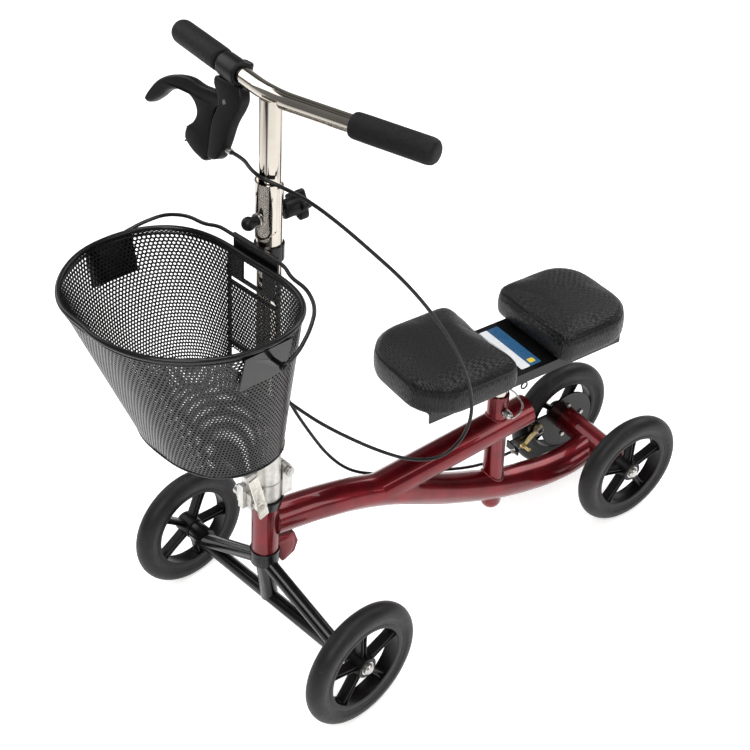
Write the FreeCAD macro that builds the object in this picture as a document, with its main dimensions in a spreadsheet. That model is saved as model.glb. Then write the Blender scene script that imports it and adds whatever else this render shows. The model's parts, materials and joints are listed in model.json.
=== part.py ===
"""Knee scooter: four-wheeled frame with two knee cushions, folding steering column, basket and rear brake.

Millimetres. The scooter faces -Y, the rider's left is +X and +Z is up. Every sub-part is drawn in one
of three places: frame (upright, under the seat), axle (turned with the steering, level) and column
(turned with the steering and raked back). The origin is on the ground, under the middle of the scooter.
"""

import FreeCAD
import Part
import Sketcher
import math
import os
import re
from FreeCAD import Placement, Rotation, Vector

SIZES = {
    # place of the whole scooter
    "origin_shift": 243.4,
    "rake_angle": 3.574,
    "steer_angle": 10.41,
    "axis_offset": 18.7,
    "axle_trail": 12.5,
    # wheels
    "wheel_radius": 100,
    "tyre_width": 31,
    "tyre_bore": 72,
    "rim_inner": 64,
    "rim_half": 12,
    "spoke_width": 11,
    "spoke_depth": 15,
    "hub_radius": 17,
    "hub_half": 15,
    "bearing_radius": 11,
    "bearing_depth": 7,
    "axle_radius": 5,
    "running_gap": 0.05,
    "bolt_head_radius": 8.5,
    "bolt_head_depth": 5,
    "front_half_track": 196.35,
    "rear_half_track": 87.5,
    "rear_axle_back": 637.4,
    # frame
    "main_radius": 25.4,
    "main_wall": 2.2,
    "seat_tube_radius": 17,
    "seat_tube_wall": 2,
    "seat_tube_back": 419.5,
    "seat_tube_foot": 76,
    "seat_tube_top": 297,
    "post_bore_foot": 90,
    "cross_radius": 22,
    "cross_half": 66,
    "cross_plug": 14,
    "head_radius": 20,
    "head_bore": 17.5,
    "head_low": 197,
    "head_high": 280,
    "lug_half": 8,
    # front axle and steerer
    "truss_radius": 11,
    "truss_wall": 1.6,
    "truss_level": 92,
    "post_radius": 13.3,
    "boss_radius": 15,
    "boss_start": 152,
    "boss_end": 179.6,
    "steerer_radius": 14.3,
    "steerer_bore": 12.3,
    "steerer_top": 326,
    "crown_radius": 21,
    "crown_low": 172,
    "crown_high": 189.5,
    # head cups
    "cup_radius": 26,
    "cup_foot_radius": 22,
    "cup_depth": 17,
    "low_cup_depth": 6.5,
    # fold joint
    "joint_split": 329,
    "joint_low": 298,
    "joint_high": 374,
    "joint_radius": 22,
    "socket_radius": 20.5,
    "hinge_back": 22,
    "hinge_level": 344,
    "knuckle_radius": 9,
    "knuckle_half": 9,
    "ear_outer": 21,
    "pin_radius": 4,
    "tongue_half": 5,
    "skewer_front": 31,
    "skewer_level": 310,
    # column and handlebar
    "column_radius": 16.7,
    "column_bore": 14.4,
    "column_top": 790,
    "stem_radius": 14.3,
    "stem_bore": 12.5,
    "stem_foot": 560,
    "bar_level": 902,
    "bar_radius": 11.1,
    "bar_bore": 9.3,
    "bar_turn": 0.95,
    "bar_half": 213,
    "bar_sweep": 44,
    "grip_radius": 16,
    "grip_length": 108,
    "bolt_level": 747,
    "bolt_radius": 4,
    "bar_drop": 60,
    "bar_rise": 120,
    "knob_radius": 20.5,
    # brake lever
    "brake_tilt": 14,
    "housing_half": 9,
    "lever_half": 7,
    # basket
    "rim_level": 690,
    "floor_level": 465,
    "mesh_wall": 2.4,
    "rim_wire": 3.4,
    "frame_wire": 2.8,
    "bail_wire": 2.5,
    "bail_front": 125,
    "bail_level": 670,
    # seat
    "post_outer": 14.3,
    "post_foot": 150,
    "tray_top": 379,
    "tray_drop": 18,
    "tray_half": 64,
    "tray_front": 238,
    "tray_back": 602,
    "sheet_wall": 3,
    "seat_rise": 100,
    "board_depth": 8,
    "pad_bottom": 381,
    "pad_top": 440,
    "lock_level": 270,
    "lock_wire": 1.4,
    # brake cable
    "cable_radius": 2.5,
}

doc = FreeCAD.newDocument("knee_scooter")
sheet = doc.addObject("Spreadsheet::Sheet", "Dimensions")
for row, (alias, number) in enumerate(SIZES.items(), 1):
    sheet.set(f"A{row}", alias)
    sheet.set(f"B{row}", str(number))
    sheet.setAlias(f"B{row}", alias)
sheet.recompute()

X = Vector(1, 0, 0)
Y = Vector(0, 1, 0)
Z = Vector(0, 0, 1)
PARTS = {}


# ---------------------------------------------------------------- helpers


def size(alias):
    """The number that the sheet holds under an alias."""
    return float(sheet.get(alias))


def expression(text):
    """An expression over the sheet's aliases, written out for setExpression."""
    return re.sub(r"[a-z][a-z_]*", lambda word: "Dimensions." + word.group(), text)


def bind(thing, **sizes):
    """Ties properties to expressions over the sheet, or sets them where they are plain numbers."""
    for name, text in sizes.items():
        if isinstance(text, str):
            thing.setExpression(name, expression(text))
        else:
            setattr(thing, name, text)
    return thing


def at(x, y, z, along=Z):
    """A placement at a point, with the piece's own Z turned along a direction."""
    return Placement(Vector(x, y, z), Rotation(Z, Vector(along)))


def cylinder(radius, height, place=Placement()):
    """A cylinder that starts at its place and runs along its own Z."""
    piece = bind(doc.addObject("Part::Cylinder", "cylinder"), Radius=radius, Height=height)
    piece.Placement = place
    return piece


def cone(low_radius, high_radius, height, place=Placement()):
    """A cone frustum that starts at its place and runs along its own Z."""
    piece = doc.addObject("Part::Cone", "cone")
    bind(piece, Radius1=low_radius, Radius2=high_radius, Height=height)
    piece.Placement = place
    return piece


def block(low, high, turn=Rotation()):
    """A box between two corners, turned about its own middle."""
    low, high = Vector(*low), Vector(*high)
    span = high - low
    middle = (low + high) * 0.5
    piece = bind(doc.addObject("Part::Box", "box"), Length=span.x, Width=span.y, Height=span.z)
    piece.Placement = Placement(middle, turn).multiply(Placement(span * -0.5, Rotation()))
    return piece


def ball(radius, place):
    """A sphere."""
    piece = bind(doc.addObject("Part::Sphere", "sphere"), Radius=radius)
    piece.Placement = place
    return piece


def ring(radius, wire, place):
    """A torus about its place's Z."""
    piece = bind(doc.addObject("Part::Torus", "torus"), Radius1=radius, Radius2=wire)
    piece.Placement = place
    return piece


def rod(radius, start, end):
    """A round bar from one point to another."""
    run = Vector(*end) - Vector(*start)
    return cylinder(radius, run.Length, at(*start, along=run))


def fuse(*pieces):
    """One solid from several that meet."""
    joined = doc.addObject("Part::MultiFuse", "fuse")
    joined.Shapes = list(pieces)
    return joined


def cut(base, *tools):
    """A piece less the tools."""
    left = doc.addObject("Part::Cut", "cut")
    left.Base = base
    left.Tool = tools[0] if len(tools) == 1 else fuse(*tools)
    return left


def common(*pieces):
    """What several pieces share."""
    shared = doc.addObject("Part::MultiCommon", "common")
    shared.Shapes = list(pieces)
    return shared


def group(*pieces):
    """Separate solids in one sub-part, such as a set of bolts."""
    together = doc.addObject("Part::Compound", "group")
    together.Links = list(pieces)
    return together


def feature(shape):
    """A piece whose shape is made by Part's own functions."""
    piece = doc.addObject("Part::Feature", "shape")
    piece.Shape = shape
    return piece


def name_part(label, piece, place):
    """Keeps a piece as the sub-part of that name, in its place on the scooter."""
    piece.Label = label
    piece.Placement = place
    PARTS[label] = piece
    return piece


def rounded_path(points, radius=None):
    """Straight runs joined by tangent arcs. Returns the wire and the arcs' radii.

    Without a radius, each arc is as large as its two runs allow.
    """
    points = [Vector(*point) for point in points]
    edges, radii, start = [], [], points[0]
    for before, corner, after in zip(points, points[1:], points[2:]):
        back = (before - corner).normalize()
        ahead = (after - corner).normalize()
        half_turn = (math.pi - back.getAngle(ahead)) / 2
        shorter = min((before - corner).Length, (after - corner).Length)
        bend = radius or 0.45 * shorter / math.tan(half_turn)
        reach = bend * math.tan(half_turn)
        first, last = corner + back * reach, corner + ahead * reach
        inward = (back + ahead).normalize()
        middle = corner + inward * (bend / math.cos(half_turn) - bend)
        edges.append(Part.LineSegment(start, first).toShape())
        edges.append(Part.Arc(first, middle, last).toShape())
        radii.append(bend)
        start = last
    edges.append(Part.LineSegment(start, points[-1]).toShape())
    return Part.Wire(edges), radii


def swept(points, radius, bend=None):
    """A round bar along straight runs joined by arcs, as a shape."""
    path, _ = rounded_path(points, bend)
    start, ahead = Vector(*points[0]), Vector(*points[1]) - Vector(*points[0])
    section = Part.Wire(Part.Circle(start, ahead, radius).toShape())
    return path.makePipeShell([section], True, False)


def spline_loop(points, level):
    """A smooth closed wire at one height through half an outline and its mirror image."""
    half = [Vector(x, y, level) for x, y in points]
    mirrored = [Vector(-p.x, p.y, p.z) for p in reversed(half) if p.x > 0]
    curve = Part.BSplineCurve()
    curve.interpolate(Points=half + mirrored, PeriodicFlag=True)
    return Part.Wire(curve.toShape())


def plate(outline, low, high):
    """A flat plate in the X-Z plane, between two depths along Y."""
    corners = [Vector(x, low, z) for x, z in outline]
    face = Part.Face(Part.makePolygon(corners + corners[:1]))
    return face.extrude(Vector(0, high - low, 0))


def origin_plane(body, role):
    """One of a body's own origin planes."""
    return next(plane for plane in body.Origin.OriginFeatures if plane.Role == role)


def outline_sketch(body, role, corners):
    """A closed sketch of straight sides on one of the body's planes, each corner tied to the sheet."""
    sketch = body.newObject("Sketcher::SketchObject", "outline")
    sketch.AttachmentSupport = [(origin_plane(body, role), "")]
    sketch.MapMode = "FlatFace"
    spots = [Vector(cell_value(x), cell_value(y), 0) for x, y in corners]
    count = len(spots)
    for index in range(count):
        side = Part.LineSegment(spots[index], spots[(index + 1) % count])
        sketch.addGeometry(side, False)
    for index in range(count):
        sketch.addConstraint(Sketcher.Constraint("Coincident", index, 2, (index + 1) % count, 1))
    for index, (corner, spot) in enumerate(zip(corners, spots)):
        for kind, text, number in zip(("DistanceX", "DistanceY"), corner, (spot.x, spot.y)):
            place = sketch.addConstraint(Sketcher.Constraint(kind, -1, 1, index, 1, number))
            sketch.setExpression(f"Constraints[{place}]", expression(text))
    return sketch


def cell_value(text):
    """What an expression over the sheet's aliases comes to."""
    sheet.set("D1", "=" + text)
    sheet.recompute()
    return float(sheet.get("D1"))


def padded_body(corners, depth, role="XY_Plane"):
    """A PartDesign body with one outline padded to a depth."""
    body = doc.addObject("PartDesign::Body", "body")
    pad = body.newObject("PartDesign::Pad", "pad")
    pad.Profile = outline_sketch(body, role, corners)
    pad.setExpression("Length", expression(depth))
    doc.recompute()
    return body, pad


def round_edges(body, base, wanted, radius):
    """Rounds a body's edges that a test picks out."""
    names = [f"Edge{n}" for n, edge in enumerate(base.Shape.Edges, 1) if wanted(edge)]
    rounded = body.newObject("PartDesign::Fillet", "rounding")
    rounded.Base = (base, names)
    rounded.Radius = radius
    body.Tip = rounded
    doc.recompute()
    return rounded


# ---------------------------------------------------------------- places

SHIFT = -size("origin_shift")
STEER = Rotation(Z, size("steer_angle"))
FRAME = Placement(Vector(0, SHIFT, 0), Rotation())
AXLE = Placement(Vector(0, SHIFT - size("axle_trail"), 0), STEER)
RAKED = Placement(Vector(0, SHIFT - size("axis_offset"), 0), Rotation(X, -size("rake_angle")))
COLUMN = RAKED.multiply(Placement(Vector(), STEER))
BAR = COLUMN.multiply(Placement(Vector(), Rotation(Z, size("bar_turn"))))


# ---------------------------------------------------------------- wheels


def make_rim():
    """A five-spoke rim: a barrel and hub on the X axis, with a deep web for each spoke."""
    body = doc.addObject("PartDesign::Body", "body")
    barrel_corners = [
        ("rim_inner", "-rim_half"),
        ("tyre_bore", "-rim_half"),
        ("tyre_bore", "rim_half"),
        ("rim_inner", "rim_half"),
    ]
    barrel = body.newObject("PartDesign::Revolution", "barrel")
    barrel.Profile = outline_sketch(body, "XZ_Plane", barrel_corners)
    barrel.ReferenceAxis = (barrel.Profile[0], ["V_Axis"])
    doc.recompute()
    hub_corners = [
        ("axle_radius * 1.4", "-hub_half"),
        ("hub_radius", "-hub_half"),
        ("hub_radius", "hub_half"),
        ("axle_radius * 1.4", "hub_half"),
    ]
    spoke = body.newObject("PartDesign::Pad", "spoke")
    spoke_corners = [
        ("hub_radius - 3", "-spoke_width * 0.75"),
        ("rim_inner + 3", "-spoke_width / 2"),
        ("rim_inner + 3", "spoke_width / 2"),
        ("hub_radius - 3", "spoke_width * 0.75"),
    ]
    spoke.Profile = outline_sketch(body, "XY_Plane", spoke_corners)
    spoke.setExpression("Length", expression("spoke_depth"))
    spoke.Midplane = True
    doc.recompute()
    spokes = body.newObject("PartDesign::PolarPattern", "spokes")
    spokes.Originals = [spoke]
    spokes.Axis = (spoke.Profile[0], ["N_Axis"])
    spokes.Angle = 360
    spokes.Occurrences = 5
    body.Tip = spokes
    doc.recompute()
    hub = body.newObject("PartDesign::Revolution", "hub")
    hub.Profile = outline_sketch(body, "XZ_Plane", hub_corners)
    hub.ReferenceAxis = (hub.Profile[0], ["V_Axis"])
    body.Tip = hub
    doc.recompute()
    return body


def make_wheel(prefix, place, outer_side):
    """A tyre, rim and pair of bearings, turned so that the wheel's axle lies along X."""
    lie = place.multiply(Placement(Vector(), Rotation(Z, Vector(outer_side, 0, 0))))
    half = size("tyre_width") / 2
    carcass = ring("wheel_radius - tyre_width / 2", "tyre_width / 2", Placement())
    bore = cylinder("tyre_bore", "tyre_width", at(0, 0, -half))
    name_part(f"{prefix}_tyre", cut(carcass, bore), lie)
    seats = [
        cylinder("bearing_radius", "bearing_depth", at(0, 0, low))
        for low in (-size("hub_half"), size("hub_half") - size("bearing_depth"))
    ]
    name_part(f"{prefix}_rim", cut(make_rim(), *seats), lie)
    races = []
    for low in (-size("hub_half"), size("hub_half") - size("bearing_depth")):
        outer = cylinder("bearing_radius", "bearing_depth", at(0, 0, low))
        inner = cylinder("axle_radius + running_gap", "bearing_depth", at(0, 0, low))
        races.append(cut(outer, inner))
    name_part(f"{prefix}_bearings", group(*races), lie)


def axle_bolt(side, half_track, start, level, back):
    """A bolt from the axle end out through a wheel's bearings, with a domed head."""
    head_from = side * (half_track + size("hub_half") + 0.6)
    length = abs(head_from) - start
    shank = cylinder("axle_radius", length + 1, at(side * start, back, level, X * side))
    flange = cylinder("bolt_head_radius", "bolt_head_depth / 2", at(head_from, back, level, X * side))
    dome_at = head_from + side * size("bolt_head_depth") / 2
    place = at(dome_at, back, level, X * side)
    dome = cone("bolt_head_radius", "bolt_head_radius * 0.7", "bolt_head_depth / 2", place)
    return fuse(shank, flange, dome)


WHEEL_LEVEL = size("wheel_radius")
REAR = size("rear_axle_back")
for prefix, base, side, track, back in (
    ("front_left", AXLE, 1, size("front_half_track"), size("axle_trail")),
    ("front_right", AXLE, -1, size("front_half_track"), size("axle_trail")),
    ("rear_left", FRAME, 1, size("rear_half_track"), REAR),
    ("rear_right", FRAME, -1, size("rear_half_track"), REAR),
):
    make_wheel(prefix, base.multiply(at(side * track, back, WHEEL_LEVEL)), side)


# ---------------------------------------------------------------- frame

MAIN_ROUTE = [
    (0, 8, 247),
    (0, 70, 240),
    (0, 150, 224),
    (0, 225, 196),
    (0, 330, 141),
    (0, 440, 98),
    (0, 530, 80),
    (0, 585, 79),
    (0, 634, 92),
]
BRANCH_START = (0, 192, 210.3)
BRANCH_END = (0, 478, 238.8)
LUG_OUTLINE = [
    (8, 214),
    (40, 207),
    (45, 188),
    (38, 170),
    (25, 163),
    (21.5, 184),
    (17.5, 198.5),
    (8, 199),
]


def lug_shape():
    """The rounded steering-stop plate behind the head tube, under the main tube."""
    half = size("lug_half")
    corners = [Vector(-half, y, z) for y, z in LUG_OUTLINE]
    face = Part.Face(Part.makePolygon(corners + corners[:1]))
    return face.extrude(Vector(2 * half, 0, 0))


def make_main_frame():
    """The welded frame: bent main tube, upper branch, seat tube, rear cross tube, head tube and lug."""
    foot, top, back = size("seat_tube_foot"), size("seat_tube_top"), size("seat_tube_back")
    half, plug = size("cross_half"), size("cross_plug")
    head = COLUMN_IN_FRAME
    outer = fuse(
        feature(swept(MAIN_ROUTE, size("main_radius"))),
        rod("main_radius", BRANCH_START, BRANCH_END),
        cylinder("seat_tube_radius", "seat_tube_top - seat_tube_foot", at(0, back, foot)),
        ball("seat_tube_radius", at(0, back, foot)),
        cylinder("cross_radius", "cross_half * 2", at(-half, REAR, WHEEL_LEVEL, X)),
        cylinder("head_radius", "head_high - head_low", head.multiply(at(0, 0, size("head_low")))),
        feature(lug_shape()),
    )
    inner = fuse(
        feature(swept(MAIN_ROUTE, size("main_radius") - size("main_wall"))),
        rod("main_radius - main_wall", BRANCH_START, (0, BRANCH_END[1] - 3, BRANCH_END[2] - 0.3)),
        cylinder("cross_radius - main_wall", 2 * (half - plug), at(plug - half, REAR, WHEEL_LEVEL, X)),
        cylinder("axle_radius + running_gap", 2 * half, at(-half, REAR, WHEEL_LEVEL, X)),
    )
    lock = cylinder("pin_radius + 0.1", 80, at(-40, back, size("lock_level"), X))
    head_bore = cylinder("head_bore", "head_high - head_low", head.multiply(at(0, 0, size("head_low"))))
    walls = cut(outer, inner)
    bore_depth = top - size("post_bore_foot")
    bore_at = at(0, back, size("post_bore_foot"))
    post_bore = cylinder("seat_tube_radius - seat_tube_wall", bore_depth, bore_at)
    seat_wall = cut(cylinder("seat_tube_radius", bore_depth, bore_at), post_bore)
    head_wall = cylinder("head_radius", "head_high - head_low", head.multiply(at(0, 0, size("head_low"))))
    whole = fuse(walls, seat_wall, head_wall)
    post_space = cylinder("seat_tube_radius - seat_tube_wall", bore_depth, bore_at)
    name_part("main_frame", cut(whole, post_space, head_bore, lock), FRAME)


# The column's place, seen from the frame's own place.
COLUMN_IN_FRAME = FRAME.inverse().multiply(COLUMN)
make_main_frame()

upper_cup_at = at(0, 0, size("head_high"))
upper_cup = cut(
    cone("cup_foot_radius", "cup_radius", "cup_depth", upper_cup_at),
    cylinder("steerer_radius + 1", "cup_depth", upper_cup_at),
)
name_part("upper_head_cup", upper_cup, COLUMN)
lower_cup_at = at(0, 0, size("head_low") - size("low_cup_depth"))
lower_cup = cut(
    cylinder("cup_foot_radius", "low_cup_depth", lower_cup_at),
    cylinder("steerer_radius + 1", "low_cup_depth", lower_cup_at),
)
name_part("lower_head_cup", lower_cup, COLUMN)

rear_bolts = [
    axle_bolt(side, size("rear_half_track"), size("cross_half") - size("cross_plug"), WHEEL_LEVEL, REAR)
    for side in (1, -1)
]
name_part("rear_axle_bolts", group(*rear_bolts), FRAME)


# ---------------------------------------------------------------- rear brake

BRAKE_PIVOT = (568, 112)
ARM_TIP = (538, 90)
PLATE_OUT = -69.5
PLATE_IN = -66.2
DRUM_OUT = -75.2
PLATE_SCREWS = [(668, 104), (637, 130), (629, 71)]


def make_rear_brake():
    """The drum on the right rear wheel, its backing plate, the arm that the cable pulls and the anchor."""
    plate_depth = PLATE_IN - PLATE_OUT
    disc = cylinder(54, plate_depth, at(PLATE_OUT, REAR, WHEEL_LEVEL, X))
    lobe = cylinder(17, plate_depth, at(PLATE_OUT, *BRAKE_PIVOT, X))
    web = block((PLATE_OUT, BRAKE_PIVOT[0], 90), (PLATE_IN, REAR, 129))
    axle_hole = cylinder("axle_radius + running_gap", 20, at(-75, REAR, WHEEL_LEVEL, X))
    pivot = cylinder(4, 9, at(PLATE_IN, *BRAKE_PIVOT, X))
    tail = block((PLATE_OUT, 506, 96), (PLATE_IN, BRAKE_PIVOT[0], 106))
    stop = block((PLATE_OUT, 506, 96), (-40, 509, 110))
    cable_hole = cylinder(2.6, 12, at(-47, 500, 104, Y))
    plate_whole = fuse(disc, lobe, web, pivot, tail, stop)
    name_part("brake_backing_plate", cut(plate_whole, axle_hole, cable_hole), FRAME)
    drum_at = at(DRUM_OUT, REAR, WHEEL_LEVEL, X)
    name_part("brake_drum", cut(cylinder(46, 3, drum_at), cylinder(18, 3, drum_at)), FRAME)
    screws = []
    for y, z in PLATE_SCREWS:
        screws.append(cylinder(4, 3, at(PLATE_IN, y, z, X)))
    name_part("brake_plate_screws", group(*screws), FRAME)
    hub = cylinder(9, 4, at(-64, *BRAKE_PIVOT, X))
    bar = rod(4.5, (-62, *BRAKE_PIVOT), (-62, *ARM_TIP))
    flat = block((-64, 500, 60), (-60, 600, 140))
    end = cylinder(6, 4, at(-64, *ARM_TIP, X))
    clamp = cylinder(3.5, 18, at(-64, *ARM_TIP, X))
    bore = cylinder("pin_radius + running_gap", 12, at(-66, *BRAKE_PIVOT, X))
    arm = cut(fuse(hub, common(bar, flat), end, clamp), bore)
    name_part("brake_arm", arm, FRAME)
    barrel = fuse(
        cylinder(2.5, 14, at(-47, 496, 104, Y)), cylinder(4.5, 6, at(-47, 499, 104, Y))
    )
    name_part("rear_barrel_adjuster", barrel, FRAME)


make_rear_brake()


# ---------------------------------------------------------------- seat

FRONT_PAD = {"half": 97, "front": 212, "back": 386, "front_round": 68, "back_round": 22}
REAR_PAD = {"half": 91, "front": 464, "back": 620, "front_round": 20, "back_round": 62}


def upright(edge):
    """Whether an edge stands straight up."""
    low, high = edge.Vertexes[0], edge.Vertexes[-1]
    return abs(low.X - high.X) + abs(low.Y - high.Y) < 0.01


def make_cushion(label, pad):
    """A thick knee cushion with a pocket below for its board."""
    corners = [
        (f"-{pad['half']}", f"{pad['front']}"),
        (f"{pad['half']}", f"{pad['front']}"),
        (f"{pad['half']}", f"{pad['back']}"),
        (f"-{pad['half']}", f"{pad['back']}"),
    ]
    body, base = padded_body(corners, "pad_top - pad_bottom")
    middle = (pad["front"] + pad["back"]) / 2
    behind = middle + pad["half"] / 2
    sharp = round_edges(
        body, base, lambda edge: upright(edge) and edge.Vertexes[0].Y < middle, pad["front_round"]
    )
    sharp = round_edges(
        body, sharp, lambda edge: upright(edge) and edge.Vertexes[0].Y > behind, pad["back_round"]
    )
    crown = size("pad_top") - size("pad_bottom")
    round_edges(body, sharp, lambda edge: edge.BoundBox.ZMin > crown - 0.01, 20)
    body.Placement = at(0, 0, size("pad_bottom"))
    name_part(label, cut(body, board_shape(pad)), FRAME)


def board_shape(pad):
    """The board under a cushion, kept clear of the cushion's rounded corners."""
    low = size("tray_top")
    inset = 30
    return block(
        (inset - pad["half"], pad["front"] + inset + 4, low),
        (pad["half"] - inset, pad["back"] - inset + 6, low + size("board_depth")),
    )


def screw_spots():
    """Where the cushions' screws go, four under each cushion."""
    for pad in (FRONT_PAD, REAR_PAD):
        for x in (-45, 45):
            for y in (pad["front"] + 45, pad["back"] - 35):
                yield x, y


def screw_holes(low, depth):
    """Clearance holes for the cushions' screws."""
    return [cylinder(3.05, depth, at(x, y, low)) for x, y in screw_spots()]


def make_seat():
    """The sliding post, the folded tray on it, two boards with cushions, and their screws."""
    top, drop, wall = size("tray_top"), size("tray_drop"), size("sheet_wall")
    front, rear, half = size("tray_front"), size("tray_back"), size("tray_half")
    skin = block((-half, front, top - drop), (half, rear, top))
    hollow = block((wall - half, front - 1, top - drop - 1), (half - wall, rear + 1, top - wall))
    window = block((-34, 398, top - 2 * wall), (34, 408, top + 1))
    saddle = block((-30, 392, top - wall - 6), (30, 448, top - wall))
    eye = ring(5.5, 1.3, at(half - wall / 2, 414, top - drop - 6, X))
    tray = cut(fuse(cut(skin, hollow), saddle, eye), *screw_holes(top - 2 * wall, 12))
    name_part("seat_tray", cut(tray, window), FRAME)
    back = size("seat_tube_back")
    foot = size("post_foot")
    post_top = top - wall - 6
    slot_low = size("lock_level") - size("seat_rise") - 5
    slot_high = size("lock_level") + 5
    outer = cylinder("post_outer", post_top - foot, at(0, back, foot))
    inner = cylinder("post_outer - seat_tube_wall", post_top - foot - 4, at(0, back, foot))
    slot = block((-40, back - 4.3, slot_low), (40, back + 4.3, slot_high))
    name_part("seat_post", cut(outer, inner, slot), FRAME)
    make_cushion("front_pad", FRONT_PAD)
    make_cushion("rear_pad", REAR_PAD)
    boards = [board_shape(pad) for pad in (FRONT_PAD, REAR_PAD)]
    name_part("pad_boards", cut(group(*boards), *screw_holes(top - 1, size("board_depth") - 1)), FRAME)
    screws = []
    for x, y in screw_spots():
        shank = cylinder(3, 9.5, at(x, y, top - wall - 0.5))
        head = cylinder(6, 3, at(x, y, top - wall - 3.2))
        screws.append(fuse(shank, head))
    name_part("pad_screws", group(*screws), FRAME)


def make_lock_pin():
    """The cross pin that holds the seat's height, and the spring wire that keeps it in."""
    back, level = size("seat_tube_back"), size("lock_level")
    shank = cylinder("pin_radius", 50, at(-27, back, level, X))
    collar = cylinder(6.5, 4, at(18.5, back, level, X))
    head = ball(6.5, at(27, back, level))
    wire_hole = cylinder("lock_wire + 0.15", 10, at(28, back, level, X))
    name_part("lock_pin", cut(fuse(shank, collar, head), wire_hole), FRAME)
    route = [
        (29, back, level),
        (37, back, level),
        (37, back + 15, level + 5),
        (29, back + 27, level + 10),
        (0, back + 34, level + 13),
        (-20, back + 31, level + 12),
        (-29, back + 24, level + 10),
    ]
    name_part("lock_pin_bail", feature(swept(route, size("lock_wire"))), FRAME)


make_seat()
make_lock_pin()


# ---------------------------------------------------------------- front axle and fold joint

COLUMN_IN_AXLE = AXLE.inverse().multiply(COLUMN)


def make_front_axle():
    """The black truss under the head tube, with the steerer welded into its crown."""
    level, trail = size("truss_level"), 10
    end = 165
    pieces = [rod("truss_radius", (-end, trail, level), (end, trail, level))]
    for side in (1, -1):
        pieces.append(rod("truss_radius", (side * 8, 3, 173), (side * 160, trail, level + 3)))
        boss_at = at(side * size("boss_start"), size("axle_trail"), WHEEL_LEVEL, X * side)
        pieces.append(cylinder("boss_radius", "boss_end - boss_start", boss_at))
    pieces.append(rod("post_radius", (0, 10, level), (0, 4, 182)))
    crown_at = COLUMN_IN_AXLE.multiply(at(0, 0, size("crown_low")))
    pieces.append(cylinder("crown_radius", "crown_high - crown_low", crown_at))
    pieces.append(cylinder("steerer_radius", "steerer_top - crown_low", crown_at))
    holes = [
        cylinder("axle_radius", 40, at(side * 150, size("axle_trail"), WHEEL_LEVEL, X * side))
        for side in (1, -1)
    ]
    holes.append(cylinder("steerer_bore", 160, COLUMN_IN_AXLE.multiply(at(0, 0, 195))))
    name_part("front_axle", cut(fuse(*pieces), *holes), AXLE)
    bolts = [
        axle_bolt(side, size("front_half_track"), 152, WHEEL_LEVEL, size("axle_trail")) for side in (1, -1)
    ]
    name_part("front_axle_bolts", group(*bolts), AXLE)
    races = []
    for low in (size("head_low") + 1, size("head_high") - 8):
        race_at = at(0, 0, low)
        outer = cylinder("head_bore - 0.3", 7, race_at)
        races.append(cut(outer, cylinder("steerer_radius + running_gap", 7, race_at)))
    name_part("head_bearings", group(*races), COLUMN)


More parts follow.
